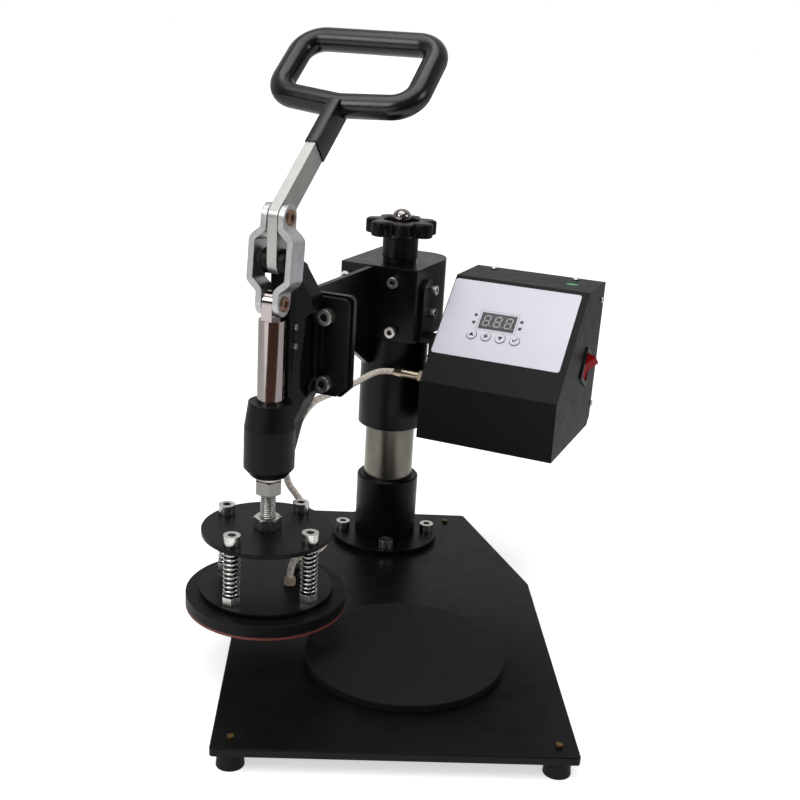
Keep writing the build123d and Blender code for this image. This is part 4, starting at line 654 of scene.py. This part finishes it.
link_outside = 9.4
copper = finish(
    "worn_copper_zinc", "b08c74", "7d5f4e", 1.0,
    rough=(0.28, 0.42), blotch=2, grain=0.3, depth=0.01, edge=0.3,
)
for side, word in ((-1, "left"), (1, "right")):
    head_turn = Matrix.Rotation(side * pi / 2, 4, "Y")
    outward = Matrix.Translation((side * link_outside / 1000, 0, 0)) @ head_turn
    for height, level in ((0.0, "low"), (link_length, "high")):
        place = link_place @ Matrix.Translation((0, 0, height * 0.001)) @ outward
        screw = piece(f"{word}_{level}_link_screw", socket_head, copper, "links", place)
        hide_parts("link_screws")

# Ram: a ground steel rod under hard chrome, a mirror. It slides in the casting's barrel, and the flat
# tongue at its top sits between the links.
chrome = finish(
    "hard_chrome", "aaa19d", "989090", 1.0,
    rough=(0.07, 0.12), blotch=20, grain=0.4, depth=0.001, edge=0.3,
)
dress(chrome, "ram_rod")

# Handle: steel rod bent to a loop and welded to the end of the bar, with soft gloss rubber tube pulled
# over it. A flat sleeve of the same rubber covers the top of the bar.
grip = finish(
    "gloss_grip_rubber", "0e0e10", "080809",
    rough=(0.2, 0.3), blotch=15, grain=2.5, depth=0.03, edge=1.0,
)


def loop_line():
    """Middle line of the loop in (across, up the lever): four round corners and a shallow V below."""
    half, high, corner = 58.9, 191.4, 19.0
    knots = [(0.0, 116.8), (half, 120.8), (half, high), (-half, high), (-half, 125.6)]
    rounds = [30.0, corner, corner, corner, corner]
    line = []
    for i, (knot, radius) in enumerate(zip(knots, rounds)):
        here, before, after = Vector(knot), Vector(knots[i - 1]), Vector(knots[(i + 1) % 5])
        back, on = (before - here).normalized(), (after - here).normalized()
        half_turn = back.angle(on) / 2
        centre = here + (back + on).normalized() * radius / sin(half_turn)
        first = here + back * radius / (sin(half_turn) / cos(half_turn)) - centre
        sweep = pi - 2 * half_turn
        for step in range(13):
            turned = first.copy()
            turned.rotate(Matrix.Rotation(sweep * step / 12, 2))
            line.append(centre + turned)
    return line


def loop_tube(radius):
    """A maker of the tube round the loop's line, seamless."""

    def make(made):
        line = loop_line()
        rings = []
        for i, spot in enumerate(line):
            way = (line[(i + 1) % len(line)] - line[i - 1]).normalized()
            out = Vector((way.y, -way.x))
            ring = []
            for step in range(28):
                turn = 2 * pi * step / 28
                flat = spot + out * radius * cos(turn)
                place = crank_pin_middle + Vector((flat.x, 0, 0)) + lever_up * flat.y
                ring.append(made.verts.new(place + lever_side * radius * sin(turn)))
            rings.append(ring)
        for i, ring in enumerate(rings):
            for j in range(28):
                made.faces.new((rings[i - 1][j - 1], rings[i - 1][j], ring[j], ring[j - 1]))

    return make


def stem_tube(made):
    """The sleeve on the bar: a rounded rectangle, from its open lower end up into the loop."""
    wide, deep, corner = 5.3, 10.8, 1.8
    section = []
    for x, y, first in ((1, 1, 0.0), (-1, 1, pi / 2), (-1, -1, pi), (1, -1, 3 * pi / 2)):
        for step in range(5):
            turn = first + step * pi / 8
            middle = Vector((x * (wide - corner), y * (deep - corner)))
            section.append(middle + Vector((cos(turn), sin(turn))) * corner)
    rings = []
    for inside, height in ((0.85, 68.5), (0.85, 66.9), (0.98, 66.9), (1.0, 67.2), (1.0, 113.5)):
        ring = []
        for across, over in section:
            place = crank_pin_middle + Vector((across * inside, 0, 0)) + lever_up * height
            ring.append(made.verts.new(place + lever_side * over * inside))
        rings.append(ring)
    for low, top in zip(rings, rings[1:]):
        for i in range(len(section)):
            made.faces.new((low[i - 1], low[i], top[i], top[i - 1]))
    made.faces.new(rings[0])
    made.faces.new(rings[-1])


stem = piece("stem_tube", stem_tube, grip, "lever", swing)
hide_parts("stem_sleeve")
loop_grip = piece("loop_grip", loop_tube(9.6), grip, "lever", swing)
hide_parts("handle_grip")
loop_rod = piece("loop_rod", loop_tube(5.6), strip, "lever", swing)
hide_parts("handle_loop")

# Star knob and its washer: moulded phenolic plastic, satin black, with seven lobes and a recess for
# its screw. The relay, the mains inlet and the rocker's frame are moulded in satin black too.
phenolic = finish(
    "moulded_black_phenolic", "0a0a0b", "060607",
    rough=(0.28, 0.4), grain=0.6, depth=0.02, edge=1.0, Specular_IOR_Level=0.22,
)
dress(phenolic, "knob_washer", "rocker_bezel", "mains_inlet", "heater_relay")
knob_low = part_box("star_knob")[0].z * 1000


def lobed_head(made):
    """Hub and head of the knob: rings from the foot of the hub up over the lobes and into the recess."""
    steps = 196
    foot, under, over, recess = knob_low, knob_low + 21.2, knob_low + 34.3, knob_low + 30.5
    lobes, lobe_reach, notch_depth = 7, 32.2, 8.6
    # Each ring has a radius and a height. Where the middle number is 1, the radius is added to the lobes'.
    profile = [(12.0, 0, foot), (15.2, 0, foot), (16.0, 0, foot + 0.8), (16.0, 0, under - 0.6)]
    profile += [(16.6, 0, under), (-1.2, 1, under), (0.0, 1, under + 1.0), (0.0, 1, over - 2.2)]
    profile += [(-0.6, 1, over - 0.9), (-2.0, 1, over - 0.2), (-4.5, 1, over), (17.2, 0, over)]
    profile += [(16.3, 0, over - 0.6), (15.8, 0, recess + 0.5), (15.2, 0, recess)]
    rings = []
    for radius, lobed, z in profile:
        ring = []
        for step in range(steps):
            turn = 2 * pi * step / steps
            notch = (0.5 - 0.5 * cos(lobes * (turn + pi / 2))) ** 1.8
            reach = radius + lobed * (lobe_reach - notch_depth * notch)
            ring.append(made.verts.new((reach * cos(turn), reach * sin(turn), z)))
        rings.append(ring)
    for low, high in zip(rings, rings[1:]):
        for i in range(steps):
            made.faces.new((low[i - 1], low[i], high[i], high[i - 1]))
    made.faces.new(rings[0])
    made.faces.new(rings[-1])


knob_head = piece("lobed_knob", lobed_head, phenolic, "knob")
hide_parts("star_knob")

# Knob screw: turned steel with a chromed dome for a head. It runs down through the knob and the turret
# into the top of the post.
screw_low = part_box("knob_screw")[0].z * 1000
screw_shank = 4.9
dome_radius = 8.5
dome_foot = knob_low + 30.4
dome_wall = dome_foot + 6.4
dome_rise = 7.0
dome_arc = [step * pi / 24 for step in range(12)]
dome_outline = [(0, screw_low), (screw_shank, screw_low), (screw_shank, dome_foot)]
dome_outline += [(dome_radius - 0.3, dome_foot), (dome_radius, dome_foot + 0.4)]
dome_outline += [(dome_radius * cos(a), dome_wall + dome_rise * sin(a)) for a in dome_arc]
dome_outline.append((0, dome_wall + dome_rise))
dome = piece("domed_screw", turned_shape(dome_outline), chrome, "knob")
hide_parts("knob_screw")

# Heating plate: cast aluminium, turned and sprayed matt heat resistant black. The flat ring element
# lies in a groove in its top, a red silicone band is let into its lower edge, and the cable goes into
# a glass fibre collar on the disc above it.
stove_black = finish(
    "heat_resistant_black", "101010", "0a0a0a",
    rough=(0.45, 0.55), grain=0.9, depth=0.02, edge=0.6, Specular_IOR_Level=0.15,
)
dress(stove_black, "heating_plate")
band = finish("red_silicone_band", "7c3a2c", "5e2a20", rough=(0.5, 0.6), grain=0.8, depth=0.01)
dress(band, "platen_rim")
cast_grey = finish("plain_cast_aluminium", "9a9a98", "7f7f7d", 1.0, rough=(0.4, 0.5))
dress(cast_grey, "heater_element")
collar_glass = finish("beige_glass_collar", "cdb7a4", "a8907e", rough=(0.6, 0.7), grain=0.8, depth=0.05)
dress(collar_glass, "cable_sleeve")

# Small turned parts: a bronze bush in the foot of the sleeve, foot screws of brass gone dull, and the
# cable's gland, nickel plated. The lathe leaves them smooth, with a soft gleam.
bronze = finish(
    "turned_bronze", "c9a766", "a5854a", 1.0,
    rough=(0.25, 0.4), blotch=3, grain=0.3, depth=0.01,
)
dress(bronze, "swing_bush")
tarnished = finish(
    "tarnished_brass", "8a7348", "5c4a2c", 1.0,
    rough=(0.4, 0.55), blotch=2, grain=0.3, depth=0.01,
)
dress(tarnished, "foot_screws")
nickel = finish(
    "nickel_plated_brass", "c9bda8", "a0917c", 1.0,
    rough=(0.15, 0.28), blotch=3, grain=0.3, depth=0.006,
)
dress(nickel, "cable_gland")

# Panel, keys, lamps, display and board: a printed polyester sheet glued to the sloping face, satin
# smooth, with moulded keys, smoked lamps and a smoked window in it. The green board is behind it.
sheet = finish(
    "printed_polyester_sheet", "dddae4", "d2cedb",
    rough=(0.3, 0.38), blotch=30, grain=0.5, depth=0.004, edge=0.2,
)
dress(sheet, "panel_label", "button_raise", "button_mode", "button_lower", "button_set")
smoke = finish("smoked_display_window", "4c4e52", "404246", rough=(0.12, 0.18), grain=0.5, depth=0.002)
dress(smoke, "display_module")
lamp = finish("unlit_smoked_lamp", "4a494c", "3a393c", rough=(0.15, 0.2), grain=0.5, depth=0.002)
dress(lamp, "led_lamps")
board = finish("green_circuit_board", "1d4a2c", "143a20", rough=(0.3, 0.4), blotch=4)
dress(board, "circuit_board")

# Power rocker: a red polycarbonate moulding that tilts on two stubs in its frame, in the side of the
# control box. The top is dished between two ridges, and the upper one stands out while it is off.
rocker_red = finish(
    "clear_red_rocker", "a00c14", "78080e",
    rough=(0.4, 0.5), grain=0.5, depth=0.003, Specular_IOR_Level=0.04,
)
switch_middle = Vector((170.0, 42.0, 208.0))
switch_lean = radians(32.0)


def rocker_cap(made):
    """The rocker's side view in (along, out), tilted to off and given its width."""
    half_width, tilt, pivot_depth = 8.3, radians(10.0), 3.0
    along = Vector((0, sin(switch_lean), cos(switch_lean)))
    across = Vector((0, -cos(switch_lean), sin(switch_lean)))
    outline = [(11.6, -2.0), (11.7, 1.5), (11.0, 5.0), (10.5, 10.2), (9.9, 10.7), (9.2, 10.5), (0.0, 4.6)]
    outline += [(-9.6, 5.4), (-10.6, 4.9), (-11.2, 3.6), (-11.7, 1.5), (-11.6, -2.0)]
    rings = []
    for side in (-half_width, half_width):
        ring = []
        for a, out in outline:
            turned = Vector((a * cos(tilt) - out * sin(tilt), a * sin(tilt) + out * cos(tilt)))
            outwards = Vector((turned.y - pivot_depth, 0, 0))
            ring.append(made.verts.new(switch_middle + along * turned.x + across * side + outwards))
        rings.append(ring)
        made.faces.new(ring)
    for i in range(len(outline)):
        made.faces.new((rings[0][i - 1], rings[0][i], rings[1][i], rings[1][i - 1]))


cap = piece("rocker_cap", rocker_cap, rocker_red, "rocker", swing, smooth=False)
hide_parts("power_rocker")

# Printing on the panel: unlit display segments, a thin frame line, a ring round each key and a
# plain sign on it. All of it stands a few hundredths of a millimetre above the sheet.
panel_run = 77.0
panel_rise = 82.0
panel_corner = Vector((45.0, -46.0, 196.0))
panel_across = Vector((1, 0, 0))
panel_up = Vector((0, panel_run, panel_rise)).normalized()
panel_turn = Matrix((panel_across, panel_up, panel_across.cross(panel_up))).transposed().to_4x4()
panel_place = swing @ Matrix.Translation(panel_corner * 0.001) @ panel_turn
sheet_top = 0.5
glass_top = 0.9
key_top = 1.7
print_sunk = 0.02
print_proud = 0.04
line_proud = 0.03
key_places = [32.5, 45.8, 59.2, 72.5]
key_up = 53.0
display_middle = Vector((52.3, 69.0))


def slab(made, points, low, high):
    """A flat outline in (x, y), thickened from low to high."""
    face = made.faces.new([made.verts.new((x, y, low)) for x, y in points])
    lifted = bmesh.ops.extrude_face_region(made, geom=[face])["geom"]
    verts = [v for v in lifted if isinstance(v, bmesh.types.BMVert)]
    bmesh.ops.translate(made, vec=(0, 0, high - low), verts=verts)


def stroke(made, start, end, width, low, high):
    """A pointed bar between two points, as a display segment has."""
    first, last = Vector(start), Vector(end)
    along = (last - first).normalized()
    side = Vector((-along.y, along.x)) * width / 2
    points = [first, first + along * width / 2 - side, last - along * width / 2 - side]
    points += [last, last - along * width / 2 + side, first + along * width / 2 + side]
    slab(made, [p.to_tuple() for p in points], low, high)


def digits(made):
    """Three seven-segment figures, leaning a little, each with its point."""
    half_wide, half_high, width, gap, lean = 2.7, 5.0, 1.35, 0.18, 0.12
    dot_radius, dot_aside = 0.65, 1.5
    low, high = glass_top - print_sunk, glass_top + print_proud
    for aside in (-10.2, 0.0, 10.2):
        centre = display_middle + Vector((aside, 0))
        for y in (-half_high, 0.0, half_high):
            left, right = (centre + Vector((x + lean * y, y)) for x in (gap - half_wide, half_wide - gap))
            stroke(made, left, right, width, low, high)
        for x in (-half_wide, half_wide):
            for foot, top in ((-half_high, 0.0), (0.0, half_high)):
                below, above = (centre + Vector((x + lean * y, y)) for y in (foot + gap, top - gap))
                stroke(made, below, above, width, low, high)
        dot = bmesh.ops.create_circle(made, cap_ends=True, segments=12, radius=dot_radius)["verts"]
        dot_place = (centre.x + half_wide + dot_aside, centre.y - half_high, glass_top + line_proud)
        bmesh.ops.translate(made, vec=dot_place, verts=dot)


segments = finish("unlit_display_segments", "a9a7a2", "989690", rough=(0.3, 0.35), grain=0.4, depth=0.002)
figures = piece("display_figures", digits, segments, "turret", panel_place, smooth=False)


def key_rings(made):
    """A printed ring round each key, and a frame line round the display."""
    inside, outside, buried, proud = 4.55, 4.95, sheet_top - 0.1, sheet_top + print_proud
    for x in key_places:
        rim = [(inside, buried), (inside, proud), (outside, proud), (outside, buried)]
        verts = [made.verts.new((x + r, key_up, z)) for r, z in rim]
        edges = [made.edges.new(pair) for pair in zip(verts, verts[1:])]
        bmesh.ops.spin(
            made,
            geom=verts + edges,
            cent=(x, key_up, 0),
            axis=(0, 0, 1),
            angle=2 * pi,
            steps=48,
            use_merge=True,
        )
    left, right, low, high, width = 34.2, 70.3, 58.9, 79.0, 0.25
    for x in (left, right):
        upright = [(x, low), (x + width, low), (x + width, high), (x, high)]
        slab(made, upright, buried, sheet_top + line_proud)
    for y in (low, high):
        level = [(left, y), (right, y), (right, y + width), (left, y + width)]
        slab(made, level, buried, sheet_top + line_proud)


ink = finish("dark_screen_ink", "55535a", "4a484f", rough=(0.4, 0.5), grain=0.4, depth=0.002)
rings_print = piece("panel_lines", key_rings, ink, "turret", panel_place, smooth=False)


def up_sign(made):
    """A triangle that points up, for more."""
    slab(made, [(-2.3, -1.6), (2.3, -1.6), (0, 2.3)], key_top - print_sunk, key_top + print_proud)


def down_sign(made):
    """A triangle that points down, for less."""
    slab(made, [(-2.3, 1.6), (0, -2.3), (2.3, 1.6)], key_top - print_sunk, key_top + print_proud)


def star_sign(made):
    """Three crossed bars, for the choice of mode."""
    half_length, width = 2.5, 0.9
    for turn in (0, pi / 3, 2 * pi / 3):
        reach = Vector((cos(turn), sin(turn))) * half_length
        stroke(made, -reach, reach, width, key_top - print_sunk, key_top + print_proud)


def tick_sign(made):
    """A tick, for set."""
    outline = [(-2.6, 0.2), (-1.8, 1.0), (-0.6, -0.3), (2.0, 2.5), (2.7, 1.8), (-0.6, -1.9)]
    slab(made, outline, key_top - print_sunk, key_top + print_proud)


black_ink = finish("black_screen_ink", "1c1b1e", "151417", rough=(0.4, 0.5), grain=0.4, depth=0.002)
signs = {"raise": up_sign, "mode": star_sign, "lower": down_sign, "set": tick_sign}
for (key, sign), x in zip(signs.items(), key_places):
    place = panel_place @ Matrix.Translation((x / 1000, key_up / 1000, 0))
    mark = piece(f"{key}_sign", sign, black_ink, f"{key}_key", place, smooth=False)


# Sticker: a small oval of plain green vinyl with a satin face, on the flat top of the control box.
# It is 0.12 mm thick and lies flat, with its own glue.
sticker_place = swing @ Matrix.Translation((0.1466, 0.0567, 0.278))


def sticker_shape(made):
    """An oval with its longer side across the box."""
    half_long, half_wide, thick = 5.5, 3.2, 0.12
    turns = [step * pi / 16 for step in range(32)]
    slab(made, [(half_long * cos(turn), half_wide * sin(turn)) for turn in turns], 0.0, thick)


sticker_green = finish("plain_green_sticker", "35b55a", "2a9a4c", rough=(0.3, 0.4), grain=0.5, depth=0.003)
sticker = piece("green_sticker", sticker_shape, sticker_green, "turret", sticker_place)

# Floor, backdrop and lamps: a white sweep under soft overhead light. The floor adds its own white
# for the camera and for mirrors, and still takes the shadow of the press. Behind the camera the
# studio is dark, which gives the polished parts their dark middle line.
def white_sweep(name, side_level):
    """White paper that glows for the camera; in mirrors it falls to side_level at the left and right."""
    made, tree = start_material(name)
    paths = add(tree, "ShaderNodeLightPath")
    spot = add(tree, "ShaderNodeTexCoord").outputs["Object"]
    away = add(tree, "ShaderNodeVectorMath", {0: spot}, operation="LENGTH")
    fade = add(
        tree,
        "ShaderNodeMapRange",
        {
            "Value": away.outputs["Value"],
            "From Min": 0.6,
            "From Max": 2.5,
            "To Min": 0.58,
            "To Max": 0.85,
        },
    )
    across = add(tree, "ShaderNodeSeparateXYZ", {"Vector": spot})
    aside = add(tree, "ShaderNodeMath", {0: across.outputs["X"]}, operation="ABSOLUTE")
    dim = add(
        tree,
        "ShaderNodeMapRange",
        {
            "Value": aside.outputs[0],
            "From Min": 0.1,
            "From Max": 0.4,
            "To Min": 1.0,
            "To Max": side_level,
        },
    )
    mirrored = add(
        tree,
        "ShaderNodeMath",
        {0: paths.outputs["Is Glossy Ray"], 1: dim.outputs[0]},
        operation="MULTIPLY",
    )
    seen = add(
        tree,
        "ShaderNodeMath",
        {0: paths.outputs["Is Camera Ray"], 1: mirrored.outputs[0]},
        operation="MAXIMUM",
    )
    lift = add(tree, "ShaderNodeMath", {0: seen.outputs[0], 1: fade.outputs[0]}, operation="MULTIPLY")
    diffuse = add(tree, "ShaderNodeBsdfDiffuse", {"Color": linear("e8e8e8")})
    glow = add(tree, "ShaderNodeEmission", {"Color": (1, 1, 1, 1), "Strength": lift.outputs[0]})
    both = add(tree, "ShaderNodeAddShader", {0: diffuse.outputs[0], 1: glow.outputs[0]})
    add(tree, "ShaderNodeOutputMaterial", {"Surface": both.outputs[0]})
    return made


edge = 20.0
sweep_front = -0.72
left_strip = -0.6
floor_paint = white_sweep("white_sweep", 0.0)
left_paint = white_sweep("white_sweep_left", 1.0)
dark_floor, tree = start_material("dark_studio_floor")
diffuse = add(tree, "ShaderNodeBsdfDiffuse", {"Color": linear("5c423a")})
add(tree, "ShaderNodeOutputMaterial", {"Surface": diffuse.outputs[0]})
floor_parts = {
    "floor": (floor_paint, -edge, edge, sweep_front, edge),
    "floor_left": (left_paint, -edge, left_strip, -edge, sweep_front),
    "studio_floor": (dark_floor, left_strip, edge, -edge, sweep_front),
}
for name, (paint, left, right, front, rear) in floor_parts.items():
    made = bmesh.new()
    corners = ((left, front), (right, front), (right, rear), (left, rear))
    made.faces.new([made.verts.new((x, y, 0)) for x, y in corners])
    floor_mesh = bpy.data.meshes.new(name)
    made.to_mesh(floor_mesh)
    made.free()
    floor_mesh.materials.append(paint)
    floor = bpy.data.objects.new(name, floor_mesh)
    bpy.context.scene.collection.objects.link(floor)

# Studio room: white for the camera, and a plain even grey light on the press. In mirrors it is nearly
# dark towards the front and grows light towards the back.
world = bpy.data.worlds.new("studio")
bpy.context.scene.world = world
world.use_nodes = True
tree = world.node_tree
tree.nodes.clear()
paths = add(tree, "ShaderNodeLightPath")
seen = add(
    tree,
    "ShaderNodeMath",
    {0: paths.outputs["Is Camera Ray"], 1: paths.outputs["Is Transmission Ray"]},
    operation="MAXIMUM",
)
way = add(tree, "ShaderNodeSeparateXYZ", {"Vector": add(tree, "ShaderNodeTexCoord").outputs["Generated"]})
room = add(
    tree,
    "ShaderNodeMapRange",
    {"Value": way.outputs["Y"], "From Min": -0.15, "From Max": 0.75, "To Min": 0.08, "To Max": 0.62},
)
mirrored = add(
    tree, "ShaderNodeMix", {"Factor": paths.outputs["Is Glossy Ray"], 2: 0.4, 3: room.outputs[0]}
)
level = add(tree, "ShaderNodeMath", {0: seen.outputs[0], 1: mirrored.outputs[0]}, operation="MAXIMUM")
sky = add(tree, "ShaderNodeBackground", {"Color": (1, 1, 1, 1), "Strength": level.outputs[0]})
add(tree, "ShaderNodeOutputWorld", {"Surface": sky.outputs[0]})

# Lamps: three soft boxes, one overhead, a smaller one at the left and a weak one at the right. Each
# has its place, its side in metres and its power in watts.
lamp_target = Vector((0, -0.12, 0.22))
lamps = {
    "overhead": ((-0.2, -0.3, 1.7), 1.4, 15.0),
    "key": ((-1.1, -1.1, 1.2), 0.8, 10.0),
    "right": ((1.3, -0.7, 1.0), 0.6, 3.5),
}
for name, (place, size, watts) in lamps.items():
    data = bpy.data.lights.new(name, "AREA")
    data.size = size
    data.energy = watts
    lamp_object = bpy.data.objects.new(name, data)
    lamp_object.location = place
    aim = lamp_target - Vector(place)
    lamp_object.rotation_euler = aim.to_track_quat("-Z", "Y").to_euler()
    bpy.context.scene.collection.objects.link(lamp_object)

bpy.context.scene.view_settings.view_transform = "Standard"
